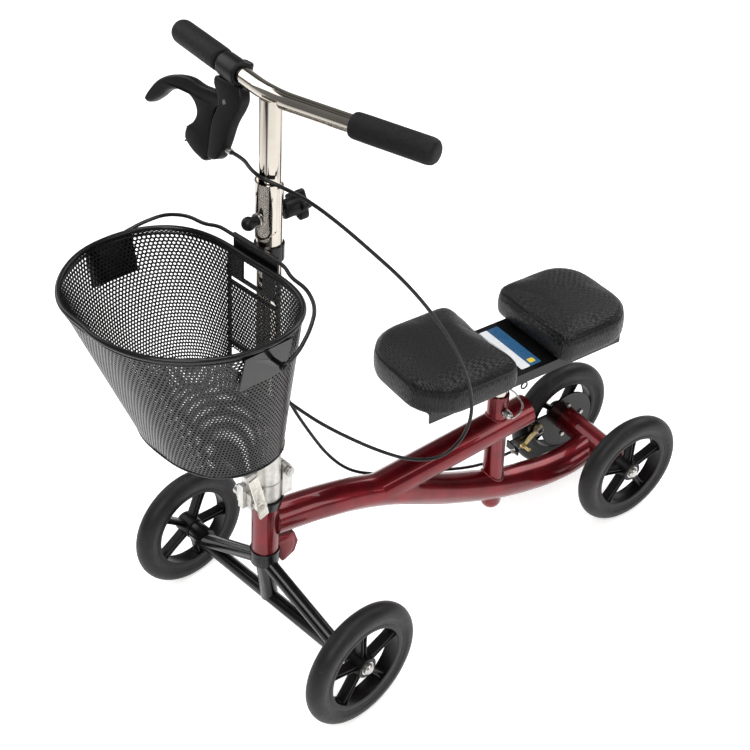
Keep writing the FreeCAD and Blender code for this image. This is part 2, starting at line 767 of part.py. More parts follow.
def make_fold_joint():
    """Two cast halves hinged behind the column and clamped in front by a skewer with a flat lever."""
    back, level = size("hinge_back"), size("hinge_level")
    split, low, high = size("joint_split"), size("joint_low"), size("joint_high")
    ear, knuckle = size("ear_outer"), size("knuckle_half")
    front, clamp = -size("skewer_front"), size("skewer_level")
    # lower half: round body on the steerer, two rear ears and two front ears
    low_pieces = [cylinder("joint_radius", "joint_split - joint_low", at(0, 0, low))]
    for side in (1, -1):
        near, far = sorted((side * (knuckle + 1.8), side * ear))
        low_pieces.append(cylinder("knuckle_radius", far - near, at(near, back, level, X)))
        low_pieces.append(block((near, back - 9, low + 4), (far, back + 9, level)))
        near, far = sorted((side * (size("tongue_half") + 0.6), side * 15))
        low_pieces.append(block((near, front - 9, low + 2), (far, -12, split - 4)))
        low_pieces.append(cylinder(10, far - near, at(near, front, clamp, X)))
    low_cuts = [
        block((-5.6, -60, low - 1), (5.6, -18.5, split + 1)),
        block((-9.4, back - 14, level - 14), (9.4, back + 20, level + 20)),
        cylinder("pin_radius", 60, at(-30, back, level, X)),
        cylinder("pin_radius", 60, at(-30, front, clamp, X)),
        cylinder("steerer_radius", 60, at(0, 0, low - 10)),
        cylinder("column_radius + 0.3", 30, at(0, 0, split + 4)),
    ]
    name_part("lower_hinge", cut(fuse(*low_pieces), *low_cuts), COLUMN)
    # upper half: socket on the column, a rear knuckle and a front tongue
    tongue = size("tongue_half")
    high_pieces = [
        cylinder("joint_radius", 22, at(0, 0, split + 1)),
        cone("joint_radius", "socket_radius", 8, at(0, 0, split + 23)),
        cylinder("socket_radius", high - split - 31, at(0, 0, split + 31)),
        cylinder("knuckle_radius", "knuckle_half * 2", at(-knuckle, back, level, X)),
        block((-knuckle, 0, level - 8), (knuckle, back, level + 9)),
        block((-tongue, -46, 299), (tongue, -23, split + 10)),
        block((-tongue, -40, split + 1), (tongue, 0, split + 22)),
    ]
    reach = math.hypot(back - front, level - clamp)
    slot_half = size("pin_radius") + 0.6
    track = cut(
        cylinder(reach + slot_half, 40, at(-20, back, level, X)),
        cylinder(reach - slot_half, 60, at(-30, back, level, X)),
    )
    below_skewer = block((-30, front - 1.5, 250), (30, back, clamp + 3))
    high_cuts = [
        common(track, below_skewer),
        cylinder(4.6, 40, at(-20, front, clamp, X)),
        block((9, back - 10.5, split), (30, back + 20, level + 12)),
        block((-30, back - 10.5, split), (-9, back + 20, level + 12)),
        cylinder("pin_radius + running_gap", 60, at(-30, back, level, X)),
        cylinder("column_radius", 60, at(0, 0, split + 5)),
    ]
    name_part("upper_hinge", cut(fuse(*high_pieces), *high_cuts), COLUMN)
    pin = fuse(
        cylinder("pin_radius", 54, at(-25, back, level, X)),
        cylinder(7, 5, at(23, back, level, X)),
        cylinder(6.5, 4, at(-26, back, level, X)),
    )
    name_part("hinge_pin", pin, COLUMN)
    skewer = fuse(
        cylinder("pin_radius", 55, at(-25, front, clamp, X)),
        cylinder(8, 10, at(-25.5, front, clamp, X)),
        cylinder(6.5, 6.5, at(15.2, front, clamp, X)),
    )
    name_part("clamp_skewer", skewer, COLUMN)
    lean = Rotation(X, 15)
    strap = block((25.5, front - 8, clamp - 21), (28.5, front + 8, clamp + 60))
    strap.Placement = Placement(Vector(0, front, clamp), lean).multiply(
        Placement(Vector(0, -front, -clamp), Rotation()).multiply(strap.Placement)
    )
    boss = cylinder(9, 6.5, at(22.5, front, clamp, X))
    bore = cylinder("pin_radius + running_gap", 20, at(15, front, clamp, X))
    name_part("quick_release_lever", cut(fuse(strap, boss), bore), COLUMN)


make_front_axle()
make_fold_joint()


# ---------------------------------------------------------------- column and handlebar


def make_column():
    """The chromed lower tube with its saddle, cross bolt, cap nut, knob and basket bracket."""
    start = size("joint_split") + 5
    top, level = size("column_top"), size("bolt_level")
    outer = cylinder("column_radius", top - start, at(0, 0, start))
    inner = cylinder("column_bore", top - start + 2, at(0, 0, start - 1))
    through = cylinder("bolt_radius + 0.1", 60, at(0, -30, level, Y))
    name_part("outer_column", cut(outer, inner, through), COLUMN)
    skin = cut(
        cylinder(19.2, 80, at(0, 0, top - 70)), cylinder("column_radius + 0.05", 82, at(0, 0, top - 71))
    )
    window = fuse(block((-18, -25, top - 52), (18, -4, top + 6)), cylinder(18, 21, at(0, -25, top - 52, Y)))
    saddle = cut(common(skin, window), cylinder("bolt_radius + 0.1", 60, at(0, -30, level, Y)))
    name_part("saddle_sleeve", saddle, COLUMN)
    bolt = fuse(
        cylinder("bolt_radius", 69, at(0, -29, level, Y)), cylinder(9, 2.5, at(0, -22, level, Y))
    )
    name_part("height_bolt", bolt, COLUMN)
    cap = cut(
        fuse(ball(9, at(0, -34, level)), cylinder(6, 12, at(0, -34.3, level, Y))),
        cylinder("bolt_radius", 12, at(0, -29, level, Y)),
    )
    name_part("cap_nut", cap, COLUMN)
    plate_low, plate_high = 686, 713
    bracket = fuse(
        block((-42, -23, plate_low), (42, -20, plate_high)),
        block((-9, -20, plate_low + 2), (9, 0, plate_high - 3)),
        cylinder(19.5, plate_high - plate_low - 5, at(0, 0, plate_low + 2)),
    )
    name_part("basket_bracket", cut(bracket, cylinder("column_radius", 60, at(0, 0, 670))), COLUMN)


def make_knob():
    """A five-lobed knob on the back of the cross bolt."""
    level = size("bolt_level")
    radius = size("knob_radius")
    pieces = [cylinder(12, 24, at(0, 21, level, Y)), cylinder(radius * 0.72, 15, at(0, 40, level, Y))]
    for lobe in range(5):
        turn = math.radians(72 * lobe + 18)
        x, z = 0.66 * radius * math.cos(turn), 0.66 * radius * math.sin(turn)
        pieces.append(cylinder(radius * 0.34, 15, at(x, 40, level + z, Y)))
    bore = cylinder("bolt_radius + running_gap", 24, at(0, 17, level, Y))
    name_part("height_knob", cut(fuse(*pieces), bore), COLUMN)


def bar_route():
    """The handlebar's centre line, symmetric about the column, with both ends swept back."""
    half, sweep, level = size("bar_half"), size("bar_sweep"), size("bar_level")
    right = [(-half, sweep, level), (-62, 15, level), (-20, 6, level)]
    left = [(-x, y, z) for x, y, z in reversed(right)]
    return right + left


def grip_shape(side, outer_x):
    """A closed-end grip on one end of the bar, which it meets face to face."""
    half, sweep, level = size("bar_half"), size("bar_sweep"), size("bar_level")
    run = Vector(side * (half - 62), sweep - 15, 0).normalize()
    tip = Vector(side * half, sweep, level)
    end = tip + run * ((outer_x - half) / abs(run.x))
    start = end - run * size("grip_length")
    round_end = 9
    sleeve = cylinder("grip_radius", size("grip_length") - round_end, at(*start, along=run))
    nose = cone(
        "grip_radius", "grip_radius * 0.55", round_end, at(*(end - run * round_end), along=run)
    )
    heel = cone("grip_radius * 0.86", "grip_radius", 3, at(*(start - run * 3), along=run))
    hold = size("grip_length") + 6
    bar = cylinder("bar_radius", hold, at(*(tip - run * hold), along=run))
    return cut(fuse(sleeve, nose, heel), bar)


def make_handlebar():
    """The chromed T-bar, with a slotted stem, and its two grips."""
    level = size("bar_level")
    route = bar_route()
    slot_low = size("bolt_level") - size("bar_rise") - 5
    slot_high = size("bolt_level") + size("bar_drop") + 5
    foot = size("stem_foot")
    outer = fuse(
        feature(swept(route, size("bar_radius"))), cylinder("stem_radius", level - foot, at(0, 0, foot))
    )
    inner = fuse(
        feature(swept(route, size("bar_bore"))), cylinder("stem_bore", level - foot - 14, at(0, 0, foot))
    )
    slot = block((-4.3, -30, slot_low), (4.3, 30, slot_high))
    name_part("handlebar", cut(outer, inner, slot), BAR)
    name_part("left_grip", grip_shape(1, size("bar_half") + 7), BAR)
    name_part("right_grip", grip_shape(-1, size("bar_half") + 12), BAR)


HOUSING_OUTLINE = [
    (-112, -14),
    (-64, -14),
    (-58, -30),
    (-61, -42),
    (-70, -62),
    (-74, -90),
    (-80, -112),
    (-99, -118),
    (-103, -68),
    (-96, -46),
    (-103, -34),
    (-112, -24),
]
LEVER_OUTLINE = [
    (-98, -36),
    (-106, -33),
    (-135, -35),
    (-160, -33),
    (-190, -40),
    (-216, -56),
    (-234, -82),
    (-230, -88),
    (-221, -86),
    (-207, -75),
    (-191, -60),
    (-165, -52),
    (-145, -57),
    (-134, -69),
    (-137, -82),
    (-147, -92),
    (-148, -104),
    (-141, -112),
    (-121, -120),
    (-101, -118),
    (-104.5, -68),
    (-99, -50),
    (-80, -44),
    (-78, -36),
]
LEVER_PIVOT = (-86, -40)
ADJUSTER_SPOT = (-73.8, -97)
ADJUSTER_LENGTH = 8


# The brake's own place on the bar: its X-Z plane leans forward about the bar.
BRAKE_ON_BAR = Placement(Vector(0, 19, size("bar_level")), Rotation(X, -size("brake_tilt")))


def brake_place():
    """The brake's own place on the scooter."""
    return BAR.multiply(BRAKE_ON_BAR)


def make_brake_lever():
    """The clamp and housing on the bar, the hooked lever in it, its pivot and the cable's adjuster."""
    half, thin = size("housing_half"), size("lever_half")
    place = brake_place()
    lean = Rotation(X, size("brake_tilt"))
    bar_run = Vector(-(size("bar_half") - 62), size("bar_sweep") - 15, 0).normalize()
    clamp_mid = lean.multVec(Vector(-88, 0, 0))
    along = lean.multVec(bar_run)
    clamp_start = clamp_mid - along * 20 + lean.multVec(Vector(0, -0.3, 0))
    clamp_ring = cylinder(16, 40, at(*clamp_start, along=along))
    body = fuse(feature(plate(HOUSING_OUTLINE, -half, half)), clamp_ring)
    tab = block((-94, 8, -6), (-78, 21, 10))
    channel = block((-130, -thin - 0.5, -125), (-72, thin + 0.5, -29))
    bar = feature(swept(bar_route(), size("bar_radius") + 0.02))
    bar.Placement = BRAKE_ON_BAR.inverse()
    cheeks = cut(fuse(body, tab), bar)
    mouth = [(-130, -29), (-72, -29), (-74, -52), (-130, -52)]
    pocket = common(channel, feature(plate(mouth, -half, half)))
    pivot_hole = cylinder(3, 40, at(LEVER_PIVOT[0], -20, LEVER_PIVOT[1], Y))
    cable_hole = cylinder(2.5, 40, at(-95, 0, ADJUSTER_SPOT[1], X))
    name_part("brake_housing", cut(cheeks, pocket, pivot_hole, cable_hole), place)
    blade = feature(plate(LEVER_OUTLINE, -thin, thin))
    lever_hole = cylinder(3 + size("running_gap"), 40, at(LEVER_PIVOT[0], -20, LEVER_PIVOT[1], Y))
    name_part("brake_lever", cut(blade, lever_hole), place)
    pin = fuse(
        cylinder(3, 2 * half, at(LEVER_PIVOT[0], -half, LEVER_PIVOT[1], Y)),
        cylinder(5, 1.6, at(LEVER_PIVOT[0], half, LEVER_PIVOT[1], Y)),
    )
    name_part("lever_pivot_pin", pin, place)
    near, level = ADJUSTER_SPOT
    shank = cylinder(2.5, 16, at(near - 10.2, 0, level, X))
    nut = cylinder(4.2, ADJUSTER_LENGTH, at(near, 0, level, X))
    screw = cut(fuse(shank, nut), cylinder(1.2, 24, at(near - 12.2, 0, level, X)))
    name_part("front_barrel_adjuster", screw, place)


make_column()
make_knob()
make_handlebar()
make_brake_lever()


# ---------------------------------------------------------------- basket

RIM_HALF = [
    (0, -271), (48, -268), (90, -250), (122, -220), (147, -175), (153, -130),
    (146, -88), (120, -50), (86, -33), (52, -28), (0, -28),
]
FLOOR_HALF = [
    (0, -178), (39, -175), (75, -160), (96, -135), (104, -105), (102, -76),
    (91, -52), (74, -37), (54, -30), (35, -28), (0, -28),
]


def inset(points, gap):
    """An outline drawn in towards its middle by about a gap."""
    middle = (min(y for _, y in points) + max(y for _, y in points)) / 2
    widest = max(x for x, _ in points)
    deepest = max(y for _, y in points) - middle
    return [(x * (1 - gap / widest), middle + (y - middle) * (1 - gap / deepest)) for x, y in points]


def make_basket():
    """The mesh basket as a thin bell with an open top, its wires, side plates and carrying bail."""
    rim, floor, wall = size("rim_level"), size("floor_level"), size("mesh_wall")
    outer = Part.makeLoft([spline_loop(FLOOR_HALF, floor), spline_loop(RIM_HALF, rim)], True, True)
    inner_loops = [
        spline_loop(inset(FLOOR_HALF, wall), floor + wall),
        spline_loop(inset(RIM_HALF, wall), rim + wall),
    ]
    inner = Part.makeLoft(inner_loops, True, True)
    windows = [block((-43, -40, 646), (43, -20, 686)), block((-43, -40, 505), (43, -20, 545))]
    name_part("basket_shell", cut(feature(outer), feature(inner), *windows), COLUMN)
    path = spline_loop(RIM_HALF, rim + size("rim_wire"))
    start = path.Edges[0].valueAt(path.Edges[0].FirstParameter)
    tangent = path.Edges[0].tangentAt(path.Edges[0].FirstParameter)
    section = Part.Wire(Part.Circle(start, tangent, size("rim_wire")).toShape())
    name_part("basket_rim", feature(path.makePipeShell([section], True, False)), COLUMN)
    back = -28 + size("frame_wire") + 0.1
    wires = []
    for x in (-47, 47):
        wires.append(rod("frame_wire", (x, back, 498), (x, back, rim - 1)))
    for level in (500, 549, 642):
        wires.append(rod("frame_wire", (-47, back, level), (47, back, level)))
    for x in (-30, 30):
        wires.append(block((x - 11, -27.8, 655), (x + 11, -24.5, rim - 1)))
    wires.append(block((-50, -27.8, 652), (50, -25.5, 658)))
    name_part("basket_back_frame", fuse(*wires), COLUMN)
    slope = math.degrees(math.atan2(RIM_HALF[5][0] - FLOOR_HALF[4][0], rim - floor))
    plates = []
    for side in (1, -1):
        leaf = block((side * 148.5 - 1, -168, 638), (side * 148.5 + 1, -98, 690), Rotation(Y, side * slope))
        pin = cylinder(3, 26, at(side * 149, -size("bail_front"), size("bail_level"), X * side))
        plates.append(fuse(cut(leaf, feature(outer)), cut(pin, feature(outer))))
    name_part("rim_plates", group(*plates), COLUMN)
    make_bail()


def make_bail():
    """The bent-wire carrying handle, resting back against the column bracket."""
    front, level = -size("bail_front"), size("bail_level")
    slope = 0.474
    plan = [(171, 0), (171, 21), (160, 49), (143, 73), (114, 86), (82, 88), (62, 95.3)]
    half = [(x, front + reach, level + slope * reach) for x, reach in plan]
    route = half + [(-x, y, z) for x, y, z in reversed(half)]
    wire = feature(swept(route, size("bail_wire")))
    eyes = []
    for side in (1, -1):
        eyes.append(cylinder(5.5, 5, at(side * 168.5, front, level, X * side)))
    hole = 3 + size("running_gap")
    holes = [cylinder(hole, 20, at(side * 160, front, level, X * side)) for side in (1, -1)]
    name_part("basket_bail", cut(fuse(wire, *eyes), *holes), COLUMN)


make_basket()


# ---------------------------------------------------------------- brake cable

# The outer end of the lever's adjuster, seen from the frame's own place.
ADJUSTER_END = brake_place().multVec(Vector(ADJUSTER_SPOT[0] + ADJUSTER_LENGTH, 0, ADJUSTER_SPOT[1]))
CABLE_START = tuple(FRAME.inverse().multVec(ADJUSTER_END))
# Centre line of the cable's outer casing, from the lever's adjuster to the loop behind the column,
# on over the fold joint, and along the right of the frame to the rear brake.
UPPER_ROUTE = [
    CABLE_START,
    (-42, 18.7, 807.1),
    (-14, 12, 808),
    (9, 13.5, 806),
    (28, 30, 798),
    (46, 57, 779),
    (67, 89, 745),
    (87, 121, 706),
    (103, 157, 661),
    (114, 191, 610),
    (120, 222, 555),
    (124, 245, 503),
    (126, 261, 450),
    (125, 265, 402),
    (121, 252, 363),
    (112, 222, 338),
    (98, 180, 345),
    (80, 138, 370),
    (62, 99, 400),
    (47, 65, 430),
    (37, 38, 460),
    (30, 18, 484),
    (27.5, 12.5, 505),
    (24.8, 20.2, 525.6),
    (12.2, 32.9, 538.3),
    (-5.4, 45.5, 538.3),
    (-21.4, 53.4, 525.6),
    (-29.5, 53.5, 505),
    (-30, 52, 488),
    (-30, 52, 473),
]
MIDDLE_ROUTE = [
    (-30, 52, 473),
    (-30, 52, 458),
    (-30, 57, 430),
    (-30, 67, 405),
    (-30, 78, 379),
    (-30, 90, 354),
]
LOWER_ROUTE = [
    (-30, 90, 354),
    (-30, 102, 329),
    (-30, 120, 295),
    (-31, 146, 257),
    (-33, 176, 227),
    (-33, 214, 205),
    (-33, 258, 188),
    (-33, 308, 166),
    (-32, 352, 147),
    (-32, 391, 132),
    (-36, 427, 119),
    (-43, 456, 109),
    (-47, 478, 104),
    (-47, 496, 104),
]


def make_cable(label, route):
    """One stretch of the brake cable."""
    radius = size("cable_radius")
    path, radii = rounded_path(route)
    shape = swept(route, radius)
    share = shape.Volume / (math.pi * radius**2 * path.Length)
    print(f"{label}: {path.Length:.0f} mm, least radius {min(radii):.0f} mm, volume ratio {share:.4f}")
    print("  radii", [round(bend) for bend in radii])
    name_part(label, feature(shape), FRAME)


make_cable("brake_cable_upper", UPPER_ROUTE)
make_cable("brake_cable_middle", MIDDLE_ROUTE)
make_cable("brake_cable_lower", LOWER_ROUTE)


# ---------------------------------------------------------------- writing

doc.recompute()
failed = [thing.Name for thing in doc.Objects if {"Invalid", "Error"} & set(thing.State)]
if failed:
    raise RuntimeError(f"these objects failed: {failed}")
for label, piece in PARTS.items():
    if piece.Shape.isNull() or not piece.Shape.isValid():
        raise RuntimeError(f"{label} has no valid shape")
os.makedirs("parts", exist_ok=True)
for label, piece in PARTS.items():
    piece.Shape.exportStep(f"parts/{label}.step")
print(len(PARTS), "sub-parts written")
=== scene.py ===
"""Looks of the knee scooter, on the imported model's frame. All lengths are in metres."""

import json
import math

import bmesh
import bpy
from mathutils import Matrix, Vector
from mathutils.bvhtree import BVHTree
from mathutils.geometry import tessellate_polygon

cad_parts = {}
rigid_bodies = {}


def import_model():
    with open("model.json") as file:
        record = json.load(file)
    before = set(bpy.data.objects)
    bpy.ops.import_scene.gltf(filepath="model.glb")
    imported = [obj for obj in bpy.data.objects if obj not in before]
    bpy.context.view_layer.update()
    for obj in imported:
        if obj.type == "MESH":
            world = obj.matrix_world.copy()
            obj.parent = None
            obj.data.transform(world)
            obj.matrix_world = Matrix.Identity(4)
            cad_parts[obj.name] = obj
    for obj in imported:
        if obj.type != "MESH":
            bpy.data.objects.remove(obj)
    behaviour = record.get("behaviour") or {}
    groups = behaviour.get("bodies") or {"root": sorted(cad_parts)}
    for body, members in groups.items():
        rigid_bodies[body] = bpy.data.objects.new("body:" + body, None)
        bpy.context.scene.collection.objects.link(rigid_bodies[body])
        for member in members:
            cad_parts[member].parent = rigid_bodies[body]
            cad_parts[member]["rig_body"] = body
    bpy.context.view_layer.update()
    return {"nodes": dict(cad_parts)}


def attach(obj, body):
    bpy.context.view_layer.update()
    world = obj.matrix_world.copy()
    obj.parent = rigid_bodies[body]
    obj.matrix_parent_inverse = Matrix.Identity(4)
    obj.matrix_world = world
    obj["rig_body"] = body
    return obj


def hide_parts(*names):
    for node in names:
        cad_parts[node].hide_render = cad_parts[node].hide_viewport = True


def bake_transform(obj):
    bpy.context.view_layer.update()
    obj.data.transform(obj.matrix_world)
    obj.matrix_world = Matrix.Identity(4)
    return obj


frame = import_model()
NODES = frame["nodes"]
MM = 0.001
Z = Vector((0, 0, 1))

# ------------------------------------------------------------ places

ORIGIN_SHIFT = 0.2434
STEER = math.radians(10.41)
RAKE = math.radians(3.574)
FRAME = Matrix.Translation((0, -ORIGIN_SHIFT, 0))
AXLE = Matrix.Translation((0, -ORIGIN_SHIFT - 0.0125, 0)) @ Matrix.Rotation(STEER, 4, "Z")
RAKED = Matrix.Translation((0, -ORIGIN_SHIFT - 0.0187, 0)) @ Matrix.Rotation(-RAKE, 4, "X")
COLUMN = RAKED @ Matrix.Rotation(STEER, 4, "Z")
BAR = COLUMN @ Matrix.Rotation(math.radians(0.95), 4, "Z")
BAR_LEVEL = 0.902
BRAKE = BAR @ Matrix.Translation((0, 0.019, BAR_LEVEL)) @ Matrix.Rotation(math.radians(-14), 4, "X")


def mm(*numbers):
    """A point or a run of sizes given in millimetres."""
    return Vector([number * MM for number in numbers])


def turned(point, along):
    """A place at a point with its own Z turned along a direction."""
    turn = Vector(along).to_track_quat("Z", "Y").to_matrix().to_4x4()
    return Matrix.Translation(Vector(point)) @ turn


# ------------------------------------------------------------ materials


class Nodes:
    """A material's node tree with short calls for the nodes used here."""

    def __init__(self, name):
        self.material = bpy.data.materials.new(name)
        self.material.use_nodes = True
        self.tree = self.material.node_tree
        self.shader = self.tree.nodes["Principled BSDF"]
        self.place = self.add("ShaderNodeTexCoord").outputs["Object"]

    def add(self, kind, **settings):
        node = self.tree.nodes.new(kind)
        for key, setting in settings.items():
            setattr(node, key, setting)
        return node

    def link(self, out, into):
        self.tree.links.new(out, into)

    def set(self, **sockets):
        for key, number in sockets.items():
            self.shader.inputs[key.replace("_", " ")].default_value = number

    def noise(self, scale, detail=4, rough=0.55, place=None):
        node = self.add("ShaderNodeTexNoise")
        node.inputs["Scale"].default_value = scale
        node.inputs["Detail"].default_value = detail
        node.inputs["Roughness"].default_value = rough
        self.link(place or self.place, node.inputs["Vector"])
        return node.outputs["Fac"]

    def cells(self, scale, feature="F1"):
        node = self.add("ShaderNodeTexVoronoi", feature=feature)
        node.inputs["Scale"].default_value = scale
        self.link(self.place, node.inputs["Vector"])
        return node.outputs["Distance"]

    def ramp(self, factor, stops):
        node = self.add("ShaderNodeValToRGB")
        elements = node.color_ramp.elements
        while len(elements) < len(stops):
            elements.new(0.5)
        for element, (position, color) in zip(elements, stops):
            element.position = position
            element.color = color if len(color) == 4 else (*color, 1)
        self.link(factor, node.inputs["Fac"])
        return node.outputs["Color"]

    def color(self, factor, stops):
        self.link(self.ramp(factor, stops), self.shader.inputs["Base Color"])

    def rough(self, factor, low, high):
        node = self.add("ShaderNodeMapRange")
        node.inputs["To Min"].default_value = low
        node.inputs["To Max"].default_value = high
        self.link(factor, node.inputs["Value"])
        self.link(node.outputs["Result"], self.shader.inputs["Roughness"])

    def bump(self, *heights):
        """Bumps given as (height socket, depth in metres, strength), chained."""
        before = None
        for height, depth, strength in heights:
            node = self.add("ShaderNodeBump")
            node.inputs["Distance"].default_value = depth
            node.inputs["Strength"].default_value = strength
            self.link(height, node.inputs["Height"])
            if before is not None:
                self.link(before, node.inputs["Normal"])
            before = node.outputs["Normal"]
        self.link(before, self.shader.inputs["Normal"])


def red_paint():
    """Candy red over a metallic ground, under a clear coat."""
    n = Nodes("red_paint")
    n.set(Metallic=0.75, Coat_Weight=0.7, Coat_Roughness=0.04, Coat_IOR=1.45)
    n.color(n.noise(30), [(0.35, (0.12, 0.0012, 0.005)), (0.65, (0.19, 0.0025, 0.008))])
    n.rough(n.cells(2600), 0.26, 0.42)
    n.bump((n.cells(2200), 0.00006, 0.35), (n.noise(160, 2), 0.0002, 0.12))
    return n.material


def black_paint(name="black_paint", rough=(0.16, 0.3)):
    """Gloss black powder coat with a slight orange peel."""
    n = Nodes(name)
    n.set(Coat_Weight=0.2, Coat_Roughness=0.12, Specular_IOR_Level=0.22)
    n.color(n.noise(24), [(0.3, (0.002, 0.002, 0.0022)), (0.7, (0.0045, 0.0045, 0.0048))])
    n.rough(n.noise(90), *rough)
    n.bump((n.noise(420, 2), 0.0002, 0.22))
    return n.material


def chrome():
    """Polished plating with faint smears and polishing lines."""
    n = Nodes("chrome_plate")
    n.set(Metallic=1.0)
    n.color(n.noise(18), [(0.3, (0.5, 0.455, 0.4)), (0.7, (0.6, 0.555, 0.5))])
    n.rough(n.noise(130, 6), 0.035, 0.12)
    n.bump((n.noise(60, 2), 0.0004, 0.05))
    return n.material


def bright_steel(name="bright_steel", tint=(0.55, 0.54, 0.52), rough=(0.2, 0.4)):
    """Zinc-plated steel with a fine grain."""
    n = Nodes(name)
    n.set(Metallic=1.0)
    darker = tuple(part * 0.72 for part in tint)
    n.color(n.noise(150), [(0.3, darker), (0.7, tint)])
    n.rough(n.noise(420, 6), *rough)
    n.bump((n.noise(900, 3), 0.0001, 0.25))
    return n.material


def cast_alloy():
    """Cast aluminium, lightly blasted."""
    n = Nodes("cast_alloy")
    n.set(Metallic=0.95)
    n.color(n.noise(90), [(0.3, (0.5, 0.49, 0.46)), (0.7, (0.68, 0.67, 0.64))])
    n.rough(n.noise(260), 0.3, 0.48)
    n.bump((n.noise(700, 5), 0.00025, 0.35), (n.noise(60, 2), 0.0006, 0.12))
    return n.material


def gold_plate():
    """Yellow passivated steel, with its rainbow patches."""
    n = Nodes("gold_plate")
    n.set(Metallic=1.0)
    stops = [(0.3, (0.42, 0.3, 0.1)), (0.5, (0.6, 0.47, 0.2)), (0.7, (0.5, 0.42, 0.3))]
    n.color(n.noise(120), stops)
    n.rough(n.noise(300), 0.24, 0.4)
    n.bump((n.noise(900, 3), 0.0001, 0.25))
    return n.material


def nylon(name="black_nylon", rough=(0.32, 0.48)):
    """Moulded black plastic with a fine spark texture."""
    n = Nodes(name)
    n.set(Specular_IOR_Level=0.2)
    n.color(n.noise(40), [(0.3, (0.0025, 0.0025, 0.0027)), (0.7, (0.0055, 0.0055, 0.0058))])
    n.rough(n.noise(320), *rough)
    n.bump((n.noise(1500, 3), 0.00012, 0.3))
    return n.material


def grip_foam():
    """Closed-cell foam, matt and pitted."""
    n = Nodes("grip_foam")
    n.set(Specular_IOR_Level=0.22)
    n.color(n.noise(220), [(0.3, (0.002, 0.002, 0.0022)), (0.7, (0.0065, 0.0065, 0.007))])
    n.rough(n.noise(240), 0.5, 0.72)
    n.bump((n.cells(900), 0.0005, 0.5), (n.noise(1400), 0.0003, 0.3))
    return n.material


def tyre_rubber():
    """Solid rubber, with a bloom and small worn marks."""
    n = Nodes("tyre_rubber")
    n.set(Specular_IOR_Level=0.25)
    marks = n.noise(55, 8, 0.7)
    stops = [(0.3, (0.006, 0.006, 0.0065)), (0.62, (0.013, 0.013, 0.0135)), (0.74, (0.04, 0.034, 0.027))]
    n.color(marks, stops)
    n.rough(n.noise(140), 0.36, 0.6)
    n.bump((n.noise(900, 4), 0.00025, 0.3), (n.noise(70, 3), 0.0005, 0.12))
    return n.material


def vinyl():
    """Black vinyl embossed with a small woven pattern, over a fine leather grain."""
    n = Nodes("black_vinyl")
    n.set(Specular_IOR_Level=0.3)
    pitch = 92.0
    waves = []
    for axis in ("X", "Y"):
        wave = n.add("ShaderNodeTexWave", wave_type="BANDS", bands_direction=axis)
        wave.inputs["Scale"].default_value = pitch
        n.link(n.place, wave.inputs["Vector"])
        waves.append(wave.outputs["Fac"])
    checker = n.add("ShaderNodeTexChecker")
    checker.inputs["Scale"].default_value = pitch * 1.9
    n.link(n.place, checker.inputs["Vector"])
    mix = n.add("ShaderNodeMix", data_type="FLOAT")
    n.link(checker.outputs["Fac"], mix.inputs["Factor"])
    n.link(waves[0], mix.inputs["A"])
    n.link(waves[1], mix.inputs["B"])
    weave = mix.outputs["Result"]
    n.color(weave, [(0.1, (0.0015, 0.0015, 0.0016)), (0.9, (0.007, 0.007, 0.0075))])
    n.rough(n.noise(220, 5), 0.28, 0.46)
    n.bump((weave, 0.0008, 0.7), (n.noise(1100, 4), 0.0003, 0.3))
    return n.material


def cable_casing():
    """The cable's smooth vinyl casing."""
    n = Nodes("cable_casing")
    n.set(Specular_IOR_Level=0.25)
    n.color(n.noise(60), [(0.3, (0.003, 0.003, 0.003)), (0.7, (0.006, 0.006, 0.0063))])
    n.rough(n.noise(300), 0.24, 0.4)
    n.bump((n.noise(700, 3), 0.00015, 0.2))
    return n.material


def board_wood():
    """Raw plywood."""
    n = Nodes("board")
    n.color(n.noise(40, 8), [(0.3, (0.28, 0.18, 0.09)), (0.7, (0.5, 0.36, 0.21))])
    n.rough(n.noise(200), 0.6, 0.8)
    n.bump((n.noise(300, 8), 0.0004, 0.4))
    return n.material


def printed(name, low, high):
    """A printed film, nearly flat in colour."""
    n = Nodes(name)
    n.color(n.noise(60), [(0.3, low), (0.7, high)])
    n.rough(n.noise(200), 0.22, 0.36)
    n.bump((n.noise(500, 2), 0.0001, 0.15))
    return n.material


RED = red_paint()
BLACK = black_paint()
WIRE = black_paint("wire_coating", (0.25, 0.4))
CHROME = chrome()
STEEL = bright_steel()
STRAP = bright_steel("strap_steel", (0.74, 0.71, 0.64), (0.22, 0.36))
ALLOY = cast_alloy()
GOLD = gold_plate()
NYLON = nylon()
RIM_NYLON = nylon("rim_nylon", (0.3, 0.42))
FOAM = grip_foam()
TYRE = tyre_rubber()
VINYL = vinyl()
CASING = cable_casing()
WOOD = board_wood()


# ------------------------------------------------------------ building


def new_object(name, mesh, body, look, smooth=35):
    """Puts a mesh on a body, in the row frame, with one material."""
    piece = bpy.data.objects.new(name, mesh)
    bpy.context.scene.collection.objects.link(piece)
    if look is not None:
        mesh.materials.clear()
        mesh.materials.append(look)
    if smooth:
        mesh.shade_smooth()
        mesh.set_sharp_from_angle(angle=math.radians(smooth))
    if body:
        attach(piece, body)
    return piece


def from_bmesh(bm, place=Matrix()):
    """A mesh from a bmesh, put in place."""
    bmesh.ops.recalc_face_normals(bm, faces=bm.faces)
    mesh = bpy.data.meshes.new("mesh")
    bm.transform(place)
    bm.to_mesh(mesh)
    bm.free()
    return mesh


